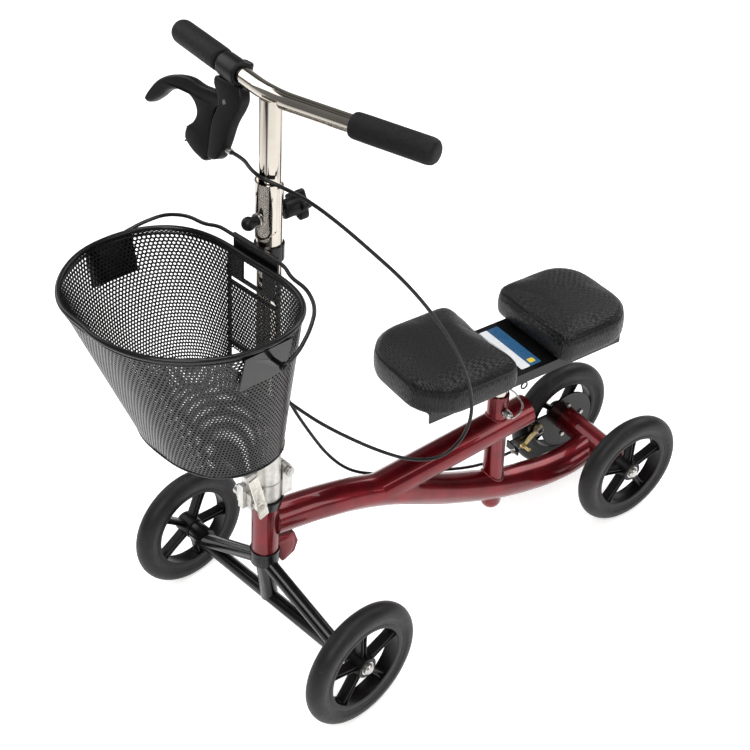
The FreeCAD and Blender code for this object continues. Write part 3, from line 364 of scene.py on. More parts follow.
def skin(bm, loops, capped=True):
    """Faces between rows of points, each row a closed loop."""
    rows = [[bm.verts.new(point) for point in loop] for loop in loops]
    count = len(rows[0])
    for low, high in zip(rows, rows[1:]):
        for i in range(count):
            j = (i + 1) % count
            bm.faces.new((low[i], low[j], high[j], high[i]))
    if capped:
        bm.faces.new(list(reversed(rows[0])))
        bm.faces.new(rows[-1])


def circles(profile, steps):
    """Rows of points about Z, one row for each (radius, height) pair in millimetres."""
    loops = []
    for radius, height in profile:
        loop = []
        for i in range(steps):
            turn = 2 * math.pi * i / steps
            loop.append(mm(radius * math.cos(turn), radius * math.sin(turn), height))
        loops.append(loop)
    return loops


def lathe(profile, place=Matrix(), steps=48):
    """A turned shape about its place's Z, closed at both ends."""
    bm = bmesh.new()
    skin(bm, circles(profile, steps))
    return from_bmesh(bm, place)


def ring_lathe(profile, place=Matrix(), steps=96):
    """A turned ring, whose profile closes on itself."""
    bm = bmesh.new()
    skin(bm, circles(profile + profile[:1], steps), capped=False)
    bmesh.ops.remove_doubles(bm, verts=bm.verts, dist=1e-6)
    return from_bmesh(bm, place)


def catmull_rom(p0, p1, p2, p3, t):
    """A point at a share t of the span between the two middle points."""
    bend = 2 * p0 - 5 * p1 + 4 * p2 - p3
    twist = 3 * p1 - p0 - 3 * p2 + p3
    return 0.5 * (2 * p1 + (p2 - p0) * t + bend * t * t + twist * t**3)


def smoothed(outline, steps=6):
    """A closed outline with rounded corners, through Catmull-Rom spans."""
    count = len(outline)
    points = []
    for i in range(count):
        p0, p1, p2, p3 = (Vector(outline[(i + k) % count]) for k in (-1, 0, 1, 2))
        for step in range(steps):
            points.append(catmull_rom(p0, p1, p2, p3, step / steps))
    return points


def rounded_corners(outline, radius, steps=4):
    """A closed polygon with each corner cut to an arc."""
    count = len(outline)
    points = []
    for i in range(count):
        before, corner, after = (Vector(outline[(i + k) % count]) for k in (-1, 0, 1))
        reach = min(radius, 0.45 * (before - corner).length, 0.45 * (after - corner).length)
        first = corner + (before - corner).normalized() * reach
        last = corner + (after - corner).normalized() * reach
        for step in range(steps + 1):
            t = step / steps
            points.append(first * (1 - t) ** 2 + corner * 2 * t * (1 - t) + last * t * t)
    return points


def offset(points, gap):
    """A closed outline moved inwards by a gap."""
    area = sum(a.x * b.y - b.x * a.y for a, b in zip(points, points[1:] + points[:1]))
    sign = 1 if area > 0 else -1
    moved = []
    for i, point in enumerate(points):
        along = (points[(i + 1) % len(points)] - points[i - 1]).normalized()
        moved.append(point + Vector((-along.y, along.x)) * gap * sign)
    return moved


def slab(outline, half, edge, place=Matrix(), rows=3):
    """A plate whose outline lies in its place's X-Z plane, with edges rounded over."""
    bm = bmesh.new()
    levels = []
    for row in range(rows + 1):
        turn = math.pi / 2 * row / rows
        levels.append((edge * (1 - math.sin(turn)), edge * (1 - math.cos(turn)) - half))
    levels += [(gap, -depth) for gap, depth in reversed(levels)]
    loops = [[mm(point.x, depth, point.y) for point in offset(outline, gap)] for gap, depth in levels]
    skin(bm, loops, capped=False)
    bm.verts.ensure_lookup_table()
    last = len(bm.verts) - len(outline)
    for corners in tessellate_polygon([[Vector((point.x, point.y, 0)) for point in outline]]):
        for first in (0, last):
            bm.faces.new([bm.verts[first + corner] for corner in corners])
    return from_bmesh(bm, place)


def curve_points(points):
    """A smooth line with the points as its control points, read back from a NURBS spline."""
    data = bpy.data.curves.new("line", "CURVE")
    data.dimensions = "3D"
    spline = data.splines.new("NURBS")
    spline.points.add(len(points) - 1)
    for spot, point in zip(spline.points, points):
        spot.co = (*point, 1)
    spline.order_u = 3
    spline.use_endpoint_u = True
    spline.resolution_u = 12
    holder = bpy.data.objects.new("line", data)
    bpy.context.scene.collection.objects.link(holder)
    mesh = bpy.data.meshes.new_from_object(holder)
    line = [vertex.co.copy() for vertex in mesh.vertices]
    bpy.data.objects.remove(holder)
    bpy.data.meshes.remove(mesh)
    return line


def tube(points, radius, sides=12, closed=False):
    """A mesh tube along a line of points, with a steady frame along it."""
    bm = bmesh.new()
    count = len(points)
    loops = []
    side = None
    for i, point in enumerate(points):
        after = points[(i + 1) % count] if closed or i + 1 < count else point
        before = points[i - 1] if closed or i > 0 else point
        along = (after - before).normalized()
        if side is None:
            side = along.orthogonal().normalized()
        side = (side - along * side.dot(along)).normalized()
        other = along.cross(side)
        loop = []
        for k in range(sides):
            turn = 2 * math.pi * k / sides
            loop.append(point + (side * math.cos(turn) + other * math.sin(turn)) * radius)
        loops.append(loop)
    if closed:
        rows = [[bm.verts.new(spot) for spot in loop] for loop in loops]
        shift = min(range(sides), key=lambda k: (rows[0][k].co - rows[-1][0].co).length)
        for r in range(count):
            low, high = rows[r], rows[(r + 1) % count]
            for i in range(sides):
                j = (i + 1) % sides
                if r == count - 1:
                    bm.faces.new((low[i], low[j], high[(j + shift) % sides], high[(i + shift) % sides]))
                else:
                    bm.faces.new((low[i], low[j], high[j], high[i]))
    else:
        skin(bm, loops)
    return from_bmesh(bm)


def wire(name, points, radius, body, look, place=Matrix(), sides=12):
    """A round wire through points in millimetres, on a body."""
    line = curve_points([place @ mm(*point) for point in points])
    return new_object(name, tube(line, radius * MM, sides), body, look, smooth=60)


def refine(node, look, width=0.4, angle=38):
    """A CAD node with its sharp edges rounded, as a new piece in its place."""
    source = NODES[node]
    bm = bmesh.new()
    bm.from_mesh(source.data)
    bmesh.ops.remove_doubles(bm, verts=bm.verts, dist=1e-5)
    bmesh.ops.dissolve_degenerate(bm, edges=bm.edges, dist=1e-5)
    bmesh.ops.dissolve_limit(bm, angle_limit=math.radians(1.5), verts=bm.verts, edges=bm.edges)
    mesh = from_bmesh(bm)
    piece = new_object(node + "_finished", mesh, source["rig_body"], look, smooth=angle)
    if width:
        rounding = piece.modifiers.new("rounding", "BEVEL")
        rounding.width = width * MM
        rounding.segments = 2
        rounding.limit_method = "ANGLE"
        rounding.angle_limit = math.radians(angle)
        rounding.use_clamp_overlap = True
        rounding.harden_normals = True
    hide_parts(node)
    return piece


def keep(node, look):
    """A CAD node shown as it is, with a finished material."""
    data = NODES[node].data
    data.materials.clear()
    data.materials.append(look)


# ------------------------------------------------------------ camera, lights and floor

AZIMUTH, ELEVATION, ROLL = math.radians(55.75), math.radians(37.64), math.radians(0.48)
LENS = 64.72
CAMERA_SPOT = (1.25267, -0.66708 - ORIGIN_SHIFT, 1.60014)
FLOOR_HALF_SIDE = 9
FLOOR_DROP = 0.0006
FLOOR_GLOW = 0.55
WORLD_STRENGTH = 0.3
LAMPS = (
    ("key", (1.6, -1.8, 2.8), 1.8, 62, (1, 0.99, 0.97)),
    ("fill", (-2.4, -1.0, 2.2), 2.2, 34, (0.97, 0.98, 1)),
    ("back", (-0.6, 2.6, 2.4), 2.0, 42, (1, 1, 1)),
    ("top", (0.2, 0.1, 3.4), 1.6, 40, (1, 1, 1)),
    ("side", (2.6, 1.2, 1.5), 1.2, 16, (1, 0.98, 0.95)),
)
WALL_TONES = [
    (0.0, (0.8, 0.8, 0.8)), (0.07, (0.1, 0.085, 0.07)), (0.13, (0.85, 0.85, 0.85)),
    (0.22, (0.6, 0.6, 0.6)), (0.27, (0.09, 0.075, 0.06)), (0.33, (0.75, 0.74, 0.72)),
    (0.42, (0.95, 0.95, 0.95)), (0.5, (0.25, 0.22, 0.2)), (0.56, (0.9, 0.9, 0.9)),
    (0.68, (0.12, 0.1, 0.085)), (0.74, (0.9, 0.9, 0.9)), (0.9, (0.85, 0.85, 0.85)),
    (0.95, (0.2, 0.18, 0.16)), (1.0, (0.8, 0.8, 0.8)),
]


def make_camera():
    """The camera, at the angle of the view that was rebuilt."""
    flat = math.cos(ELEVATION)
    back = Vector((math.sin(AZIMUTH) * flat, -math.cos(AZIMUTH) * flat, math.sin(ELEVATION)))
    right = (-back).cross(Z).normalized()
    up = right.cross(-back)
    turned_right = right * math.cos(ROLL) + up * math.sin(ROLL)
    turned_up = up * math.cos(ROLL) - right * math.sin(ROLL)
    camera = bpy.data.objects.new("camera", bpy.data.cameras.new("camera"))
    bpy.context.scene.collection.objects.link(camera)
    camera.data.lens = LENS
    camera.data.sensor_width = 36
    camera.data.clip_end = 50
    turn = Matrix((turned_right, turned_up, back)).transposed().to_4x4()
    camera.matrix_world = Matrix.Translation(CAMERA_SPOT) @ turn
    bpy.context.scene.camera = camera


def make_floor():
    """A pale floor that glows a little, as a lit studio sweep does."""
    bm = bmesh.new()
    bmesh.ops.create_grid(bm, x_segments=8, y_segments=8, size=FLOOR_HALF_SIDE)
    n = Nodes("floor")
    n.color(n.noise(3), [(0.3, (0.86, 0.86, 0.865)), (0.7, (0.9, 0.9, 0.905))])
    n.set(Emission_Color=(1, 1, 1, 1), Emission_Strength=FLOOR_GLOW)
    n.rough(n.noise(60), 0.6, 0.75)
    mesh = from_bmesh(bm, Matrix.Translation((0, 0, -FLOOR_DROP)))
    floor = new_object("floor", mesh, None, n.material, smooth=0)


def make_lamps():
    """Soft square lamps round the scooter, all aimed at its middle."""
    for name, spot, size, power, tint in LAMPS:
        lamp = bpy.data.lights.new(name, "AREA")
        lamp.shape = "SQUARE"
        lamp.size = size
        lamp.energy = power
        lamp.color = tint
        holder = bpy.data.objects.new(name, lamp)
        holder.location = spot
        holder.rotation_mode = "QUATERNION"
        aim = Vector((0, 0, 0.4)) - Vector(spot)
        holder.rotation_quaternion = aim.to_track_quat("-Z", "Y")
        bpy.context.scene.collection.objects.link(holder)


def make_world():
    """Walls with lighter and darker stretches, for the plating to reflect."""
    world = bpy.data.worlds.new("studio")
    bpy.context.scene.world = world
    world.use_nodes = True
    tree = world.node_tree
    ground = tree.nodes["Background"]
    place = tree.nodes.new("ShaderNodeTexCoord")
    split = tree.nodes.new("ShaderNodeSeparateXYZ")
    tree.links.new(place.outputs["Generated"], split.inputs["Vector"])
    around = tree.nodes.new("ShaderNodeMath")
    around.operation = "ARCTAN2"
    tree.links.new(split.outputs["Y"], around.inputs[0])
    tree.links.new(split.outputs["X"], around.inputs[1])
    share = tree.nodes.new("ShaderNodeMapRange")
    share.inputs["From Min"].default_value = -math.pi
    share.inputs["From Max"].default_value = math.pi
    tree.links.new(around.outputs[0], share.inputs["Value"])
    walls = tree.nodes.new("ShaderNodeValToRGB")
    elements = walls.color_ramp.elements
    while len(elements) < len(WALL_TONES):
        elements.new(0.5)
    for element, (position, color) in zip(elements, WALL_TONES):
        element.position = position
        element.color = (*color, 1)
    tree.links.new(share.outputs["Result"], walls.inputs["Fac"])
    tree.links.new(walls.outputs["Color"], ground.inputs["Color"])
    ground.inputs["Strength"].default_value = WORLD_STRENGTH
    bpy.context.scene.view_settings.view_transform = "Standard"


make_camera()
make_floor()
make_lamps()
make_world()


# ------------------------------------------------------------ wheels

WHEELS = (
    ("front_left", AXLE, 1, (196.35, 12.5)),
    ("front_right", AXLE, -1, (196.35, 12.5)),
    ("rear_left", FRAME, 1, (87.5, 637.4)),
    ("rear_right", FRAME, -1, (87.5, 637.4)),
)
WHEEL_LEVEL = 100
TREAD_CENTRE, TREAD_RISE, TREAD_HALF = 86.6, 13.4, 15.4
SPOKES = 5
FIRST_SPOKE = {1: 0.3, -1: 0.75}
BOLT_OUT = 15.6


def wheel_place(base, side, out, back):
    """A place on a wheel's axle with its Z pointing outwards."""
    return base @ Matrix.Translation(mm(side * out, back, WHEEL_LEVEL)) @ turned((0, 0, 0), (side, 0, 0))


def tyre_profile():
    """The tyre's section: a round tread, flatter walls with a step, and beads on the rim."""
    points = []
    for degrees in range(-80, 81, 10):
        turn = math.radians(degrees)
        points.append((TREAD_CENTRE + TREAD_RISE * math.cos(turn), TREAD_HALF * math.sin(turn)))
    wall = [(84.5, 15.5), (80.5, 15.2), (79.6, 14.4), (76, 13.9), (72.2, 12.6)]
    return [(r, -z) for r, z in reversed(wall)] + points + wall


def spoke_mesh(bm, turn):
    """One spoke: a U of two ribs on a recessed web, wider at the hub."""
    spin = Matrix.Rotation(turn, 4, "Z")
    for side in (1, -1):
        rib = [(14, 4.6), (30, 4.0), (50, 4.2), (66.5, 5.6)]
        inner = [(66.5, 3.2), (50, 1.9), (30, 1.7), (14, 2.0)]
        outline = [(r, side * w) for r, w in rib + inner]
        loops = []
        for level, gap in ((-8.2, 0.5), (-7.6, 0.0), (7.4, 0.0), (8.2, 0.55)):
            flat = offset([Vector(p) for p in outline], gap)
            loops.append([spin @ mm(p.x, p.y, level) for p in flat])
        skin(bm, loops)
    web = [(12, 4.4), (66.5, 4.6), (66.5, -4.6), (12, -4.4)]
    loops = [[spin @ mm(x, y, level) for x, y in web] for level in (-4.5, 4.5)]
    skin(bm, loops)
    bridge = [(62, 7.5), (66.8, 9.5), (66.8, -9.5), (62, -7.5)]
    loops = [[spin @ mm(x, y, level) for x, y in bridge] for level in (-6, 6)]
    skin(bm, loops)


def make_wheel(prefix, base, side, spot):
    """A solid tyre on a moulded five-spoke rim, with the hub's face and its bearing."""
    body = prefix + "_wheel"
    place = wheel_place(base, side, *spot)
    carcass = ring_lathe(tyre_profile(), place, 128)
    tyre = new_object(body + "_tyre_finished", carcass, body, TYRE, 50)
    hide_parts(prefix + "_tyre")
    barrel = [
        (64.2, -11.2), (64.6, -12), (71.4, -13.2), (72.6, -12.6), (72, -10), (72, 10), (72.6, 12.6),
        (71.4, 13.2), (64.6, 12), (64.2, 11.2), (65, 9.4), (65.4, 0), (65, -9.4),
    ]
    hub = [
        (7.2, -14.8), (15.6, -14.8), (16.6, -13.8), (17, -6), (17, 6), (16.6, 13.8), (15.6, 14.8),
        (12.6, 14.8), (12.2, 14.1), (7.2, 14.1),
    ]
    bm = bmesh.new()
    for ring in (ring_lathe(barrel, steps=128), ring_lathe(hub, steps=48)):
        bm.from_mesh(ring)
    for index in range(SPOKES):
        spoke_mesh(bm, 2 * math.pi * index / SPOKES + FIRST_SPOKE[side])
    rim = new_object(body + "_rim_finished", from_bmesh(bm, place), body, RIM_NYLON, 40)
    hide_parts(prefix + "_rim")
    keep(prefix + "_bearings", STEEL)


def hub_bolt(name, base, side, spot, body):
    """The domed hub bolt's head with its round socket and washer."""
    place = wheel_place(base, side, spot[0] + BOLT_OUT, spot[1])
    head = [(8.5, 0), (8.5, 1.2), (7.9, 2.6), (6.3, 4.1), (4.3, 4.9), (3.6, 5), (3.2, 4.6), (3.1, 2.6)]
    new_object(name, lathe(head, place, steps=36), body, STEEL, 40)


for wheel in WHEELS:
    make_wheel(*wheel)
for prefix, base, side, spot in WHEELS:
    owner = "steering" if prefix.startswith("front") else "frame"
    hub_bolt(prefix + "_bolt_face", base, side, spot, owner)


# ------------------------------------------------------------ cushions

FRONT_PAD = {"half": 97, "front": 212, "back": 386, "front_round": 68, "back_round": 22}
REAR_PAD = {"half": 91, "front": 464, "back": 620, "front_round": 20, "back_round": 62}
PAD_BOTTOM, PAD_TOP = 381, 440
SEAM_LEVEL = 422
CLOTH_STEPS = 20
CLOTH_CAP = 4.2 * MM
VOXEL = 0.005
CREASE_REACH, CREASE_DEPTH = 0.0035, 0.0012
SEAM_STEPS = 220
STITCH_PITCH = 0.0042


def pad_outline(pad, gap, steps=10):
    """A rounded outline, drawn in by a gap."""
    half, front, back = pad["half"] - gap, pad["front"] + gap, pad["back"] - gap
    points = []
    for cx, cy, radius, start in (
        (half, back, pad["back_round"], 0),
        (-half, back, pad["back_round"], 90),
        (-half, front, pad["front_round"], 180),
        (half, front, pad["front_round"], 270),
    ):
        radius = max(radius - gap, 6)
        mx = cx - math.copysign(radius, cx)
        my = cy - radius if cy == back else cy + radius
        for step in range(steps + 1):
            turn = math.radians(start + 90 * step / steps)
            points.append((mx + radius * math.cos(turn), my + radius * math.sin(turn)))
    return points


def make_cushion(label, pad):
    """A stuffed vinyl cushion: swelled by cloth pressure, flat below, with a seam and its stitches."""
    bm = bmesh.new()
    levels = [
        (PAD_BOTTOM + 0.4, 7), (PAD_BOTTOM + 4, 4.2), (PAD_BOTTOM + 14, 3.4), (PAD_TOP - 24, 3.4),
        (PAD_TOP - 13, 6), (PAD_TOP - 6.5, 12), (PAD_TOP - 3.5, 20), (PAD_TOP - 2.5, 34),
    ]
    loops = [[mm(x, y, z) for x, y in pad_outline(pad, gap)] for z, gap in levels]
    skin(bm, loops)
    mesh = from_bmesh(bm, FRAME)
    cushion = new_object(label + "_cover", mesh, None, VINYL)
    remesh = cushion.modifiers.new("remesh", "REMESH")
    remesh.mode = "VOXEL"
    remesh.voxel_size = VOXEL
    apply_modifiers(cushion)
    smooth_mesh(cushion.data, 6)
    rest = [vertex.co.copy() for vertex in cushion.data.vertices]
    pins = cushion.vertex_groups.new(name="pins")
    low = (PAD_BOTTOM + 3) * MM
    pins.add([v.index for v in cushion.data.vertices if v.co.z < low], 1.0, "REPLACE")
    cloth = cushion.modifiers.new("cloth", "CLOTH")
    settings = cloth.settings
    settings.quality = 6
    settings.mass = 0.2
    settings.tension_stiffness = 40
    settings.compression_stiffness = 40
    settings.shear_stiffness = 20
    settings.bending_stiffness = 2
    settings.use_pressure = True
    settings.uniform_pressure_force = 4
    settings.effector_weights.gravity = 0
    settings.vertex_group_mass = "pins"
    for step in range(1, CLOTH_STEPS + 1):
        bpy.context.scene.frame_set(step)
    apply_modifiers(cushion)
    bpy.context.scene.frame_set(1)
    for vertex, before in zip(cushion.data.vertices, rest):
        move = vertex.co - before
        if move.length > CLOTH_CAP:
            vertex.co = before + move.normalized() * CLOTH_CAP
    smooth_mesh(cushion.data, 2)
    top = max(vertex.co.z for vertex in cushion.data.vertices)
    scale = (PAD_TOP * MM + 0.001 - PAD_BOTTOM * MM) / (top - PAD_BOTTOM * MM)
    for vertex in cushion.data.vertices:
        vertex.co.z = PAD_BOTTOM * MM + max(0.0, vertex.co.z - PAD_BOTTOM * MM) * scale
    crease(cushion.data, SEAM_LEVEL * MM)
    division = cushion.modifiers.new("division", "SUBSURF")
    division.levels = 1
    division.render_levels = 1
    cushion.data.shade_smooth()
    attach(cushion, "seat")
    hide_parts(label)
    make_seam(label, cushion, pad)


def apply_modifiers(piece):
    """Applies all modifiers on a piece."""
    bpy.context.view_layer.update()
    graph = bpy.context.evaluated_depsgraph_get()
    mesh = bpy.data.meshes.new_from_object(piece.evaluated_get(graph))
    look = list(piece.data.materials)
    piece.modifiers.clear()
    piece.data = mesh
    mesh.materials.clear()
    for entry in look:
        mesh.materials.append(entry)


def smooth_mesh(mesh, rounds):
    """Evens out a mesh."""
    bm = bmesh.new()
    bm.from_mesh(mesh)
    for _ in range(rounds):
        bmesh.ops.smooth_vert(
            bm, verts=bm.verts, factor=0.5, use_axis_x=True, use_axis_y=True, use_axis_z=True
        )
    bm.to_mesh(mesh)
    bm.free()


def crease(mesh, level):
    """Draws the cover in along the seam, all the way round."""
    for vertex in mesh.vertices:
        near = math.exp(-((vertex.co.z - level) / CREASE_REACH) ** 2)
        flat = Vector((vertex.normal.x, vertex.normal.y, 0))
        vertex.co -= flat * near * CREASE_DEPTH


def make_seam(label, cushion, pad):
    """The seam's piping and its stitches, laid on the cover where it goes round."""
    bpy.context.view_layer.update()
    graph = bpy.context.evaluated_depsgraph_get()
    tree = BVHTree.FromObject(cushion, graph)
    middle = FRAME @ mm(0, (pad["front"] + pad["back"]) / 2, SEAM_LEVEL)
    line = []
    for step in range(SEAM_STEPS):
        turn = 2 * math.pi * step / SEAM_STEPS
        ray = Vector((math.cos(turn), math.sin(turn), 0))
        spot, _, _, _ = tree.ray_cast(middle + ray * 0.3, -ray)
        if spot:
            line.append(spot + ray * 0.0001)
    cord = tube(line, 0.0009, 8, closed=True)
    new_object(label + "_seam", cord, "seat", VINYL, 80)
    bm = bmesh.new()
    total = len(line)
    for index in range(total):
        here, after = line[index], line[(index + 1) % total]
        run = after - here
        count = max(1, int(run.length / STITCH_PITCH))
        for k in range(count):
            spot = here + run * ((k + 0.5) / count) + Vector((0, 0, 0.0028))
            out = spot - middle
            out.z = 0
            place = turned(spot - out.normalized() * 0.0002, run)
            barrel = [(0.15, -1.2), (0.34, -0.8), (0.36, 0), (0.34, 0.8), (0.15, 1.2)]
            stitch = lathe(barrel, place, steps=6)
            bm.from_mesh(stitch)
            bpy.data.meshes.remove(stitch)
    new_object(label + "_stitches", from_bmesh(bm), "seat", CASING, 80)


make_cushion("front_pad", FRONT_PAD)
make_cushion("rear_pad", REAR_PAD)


# ------------------------------------------------------------ basket

RIM_HALF = [
    (0, -271), (48, -268), (90, -250), (122, -220), (147, -175), (153, -130),
    (146, -88), (120, -50), (86, -33), (52, -28), (0, -28),
]
FLOOR_HALF = [
    (0, -178), (39, -175), (75, -160), (96, -135), (104, -105), (102, -76),
    (91, -52), (74, -37), (54, -30), (35, -28), (0, -28),
]
RIM_LEVEL, FLOOR_LEVEL = 690, 465
COLUMNS, ROWS = 148, 46
FLOOR_PITCH = 5.2
ROW_SHARE = 0.9
FLOOR_MIDDLE = -103
FLOOR_COLUMNS, FLOOR_ROWS = range(-24, 25), range(-20, 22)
HOLE = 0.6
STRAND = 0.0013
FLOOR_WIRE, TOP_BAND = 0.0019, 0.0016
WINDOW_HALF = 0.043
WINDOWS = ((0.646, 0.686), (0.505, 0.545))


def loop_point(half, share):
    """A point at a share of the way round an outline and its mirror image."""
    outline = half + [(-x, y) for x, y in reversed(half) if x > 0]
    count = len(outline)
    at = share * count
    i = int(at) % count
    t = at - int(at)
    p0, p1, p2, p3 = (Vector(outline[(i + k) % count]) for k in (-1, 0, 1, 2))
    return catmull_rom(p0, p1, p2, p3, t)


def even_shares(half, count):
    """Shares of the way round at which an outline's steps are equally long."""
    fine = 2000
    spots = [loop_point(half, k / fine) for k in range(fine + 1)]
    lengths = [0.0]
    for a, b in zip(spots, spots[1:]):
        lengths.append(lengths[-1] + (b - a).length)
    shares = []
    k = 0
    for step in range(count):
        goal = lengths[-1] * step / count
        while lengths[k + 1] < goal:
            k += 1
        shares.append((k + (goal - lengths[k]) / (lengths[k + 1] - lengths[k])) / fine)
    return shares


def wall_point(share, height):
    """A point on the basket's wall: height 0 at the floor and 1 at the rim, in the column's place."""
    low, high = loop_point(FLOOR_HALF, share), loop_point(RIM_HALF, share)
    flat = low.lerp(high, height)
    return mm(flat.x, flat.y, FLOOR_LEVEL + (RIM_LEVEL - FLOOR_LEVEL) * height)


def pierced(bm, corners, hole):
    """A strand frame round one cell: quads between its corners and a smaller hole."""
    middle = sum(corners, Vector()) / len(corners)
    inner = [middle.lerp(corner, hole) for corner in corners]
    outer_verts = [bm.verts.new(corner) for corner in corners]
    inner_verts = [bm.verts.new(corner) for corner in inner]
    count = len(corners)
    for i in range(count):
        j = (i + 1) % count
        bm.faces.new((outer_verts[i], outer_verts[j], inner_verts[j], inner_verts[i]))


def hexagon(share, height, wide, tall):
    """A staggered cell's six corners."""
    spots = [(0, -0.667), (0.5, -0.333), (0.5, 0.333), (0, 0.667), (-0.5, 0.333), (-0.5, -0.333)]
    return [(share + u * wide, height + v * tall) for u, v in spots]


def in_window(point):
    """Whether a wall point lies in one of the two openings at the back."""
    beside = abs(point.x) < WINDOW_HALF and point.y > -0.04
    return beside and any(low < point.z < high for low, high in WINDOWS)


def make_mesh_wall():
    """The expanded-metal wall and floor, each cell a real hole."""
    bm = bmesh.new()
    shares = even_shares(RIM_HALF, COLUMNS)
    shares.append(1.0)

    def share_at(column):
        column %= COLUMNS
        k = int(column)
        return shares[k] + (shares[k + 1] - shares[k]) * (column - k)

    for row in range(ROWS):
        for column in range(COLUMNS):
            u = column + 0.5 * (row % 2)
            cell = []
            for x, y in hexagon(u, row + 0.5, 1, 1):
                height = min(max(y / ROWS, 0), 1)
                cell.append(wall_point(share_at(x % COLUMNS), height))
            if in_window(sum(cell, Vector()) / 6):
                continue
            pierced(bm, cell, HOLE)
    pitch, row_pitch = FLOOR_PITCH, FLOOR_PITCH * ROW_SHARE
    flat_limit = [loop_point(FLOOR_HALF, k / 120) for k in range(120)]
    for row in FLOOR_ROWS:
        for column in FLOOR_COLUMNS:
            x = (column + 0.5 * (row % 2)) * pitch
            y = FLOOR_MIDDLE + row * row_pitch
            if not inside(Vector((x, y)), flat_limit):
                continue
            cell = []
            for u, v in hexagon(x / pitch, y / row_pitch, 1, 1):
                cell.append(mm(u * pitch, v * row_pitch, FLOOR_LEVEL + 0.8))
            pierced(bm, cell, HOLE)
    bmesh.ops.remove_doubles(bm, verts=bm.verts, dist=2e-5)
    mesh = from_bmesh(bm, COLUMN)
    shell = new_object("basket_mesh", mesh, "basket", WIRE, 0)
    thick = shell.modifiers.new("thickness", "SOLIDIFY")
    thick.thickness = STRAND
    thick.offset = 0
    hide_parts("basket_shell")
    edge = [COLUMN @ wall_point(k / 120, 0.0) for k in range(120)]
    hoop = tube(edge, FLOOR_WIRE, 8, closed=True)
    new_object("basket_floor_wire", hoop, "basket", WIRE, 60)
    top = [COLUMN @ wall_point(k / 160, 0.985) for k in range(160)]
    band = tube(top, TOP_BAND, 8, closed=True)
    new_object("basket_top_band", band, "basket", WIRE, 60)


def inside(spot, outline):
    """Whether a point lies in a closed outline."""
    crossings = 0
    for a, b in zip(outline, outline[1:] + outline[:1]):
        if (a.y > spot.y) != (b.y > spot.y):
            if spot.x < a.x + (spot.y - a.y) / (b.y - a.y) * (b.x - a.x):
                crossings += 1
    return crossings % 2 == 1


make_mesh_wall()
for node in ("basket_rim", "basket_bail"):
    refine(node, WIRE, 0)
for node in ("basket_back_frame", "basket_bracket", "rim_plates"):
    refine(node, BLACK, 0.5)


# ------------------------------------------------------------ grips, brake lever and knob

BAR_HALF, SWEEP = 213, 44
BAR_RUN = Vector((BAR_HALF - 62, SWEEP - 15, 0)).normalized()


def make_grip(label, side, outer_x):
    """A foam grip with a rounded end and a lip at its root."""
    run = Vector((side * BAR_RUN.x, BAR_RUN.y, 0))
    tip = Vector((side * BAR_HALF, SWEEP, BAR_LEVEL / MM))
    end = tip + run * ((outer_x - BAR_HALF) / BAR_RUN.x)
    start = end - run * 108
    profile = [
        (11.2, -3), (13.6, -3), (14.8, -2.2), (15.6, 0), (15.9, 4), (16, 20), (16, 84), (16, 97),
        (15.6, 101), (14.4, 104.6), (12.2, 106.9), (9, 108), (4, 108.3),
    ]
    place = BAR @ turned(start * MM, run)
    grip = new_object(label + "_foam", lathe(profile, place, 56), "handlebar", FOAM, 60)
    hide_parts(label)


make_grip("left_grip", 1, BAR_HALF + 7)
make_grip("right_grip", -1, BAR_HALF + 12)

HOUSING_OUTLINE = [
    (-112, -14), (-64, -14), (-58, -30), (-61, -42), (-70, -62), (-74, -90), (-80, -112), (-99, -118),
    (-103, -68), (-96, -46), (-103, -34), (-112, -24),
]
LEVER_OUTLINE = [
    (-98, -36), (-106, -33), (-135, -35), (-160, -33), (-190, -40), (-216, -56), (-234, -82),
    (-230, -88), (-221, -86), (-207, -75), (-191, -60), (-165, -52), (-145, -57), (-134, -69),
    (-137, -82), (-147, -92), (-148, -104), (-141, -112), (-121, -120), (-101, -118), (-104.5, -68),
    (-99, -50), (-80, -44), (-78, -36),
]


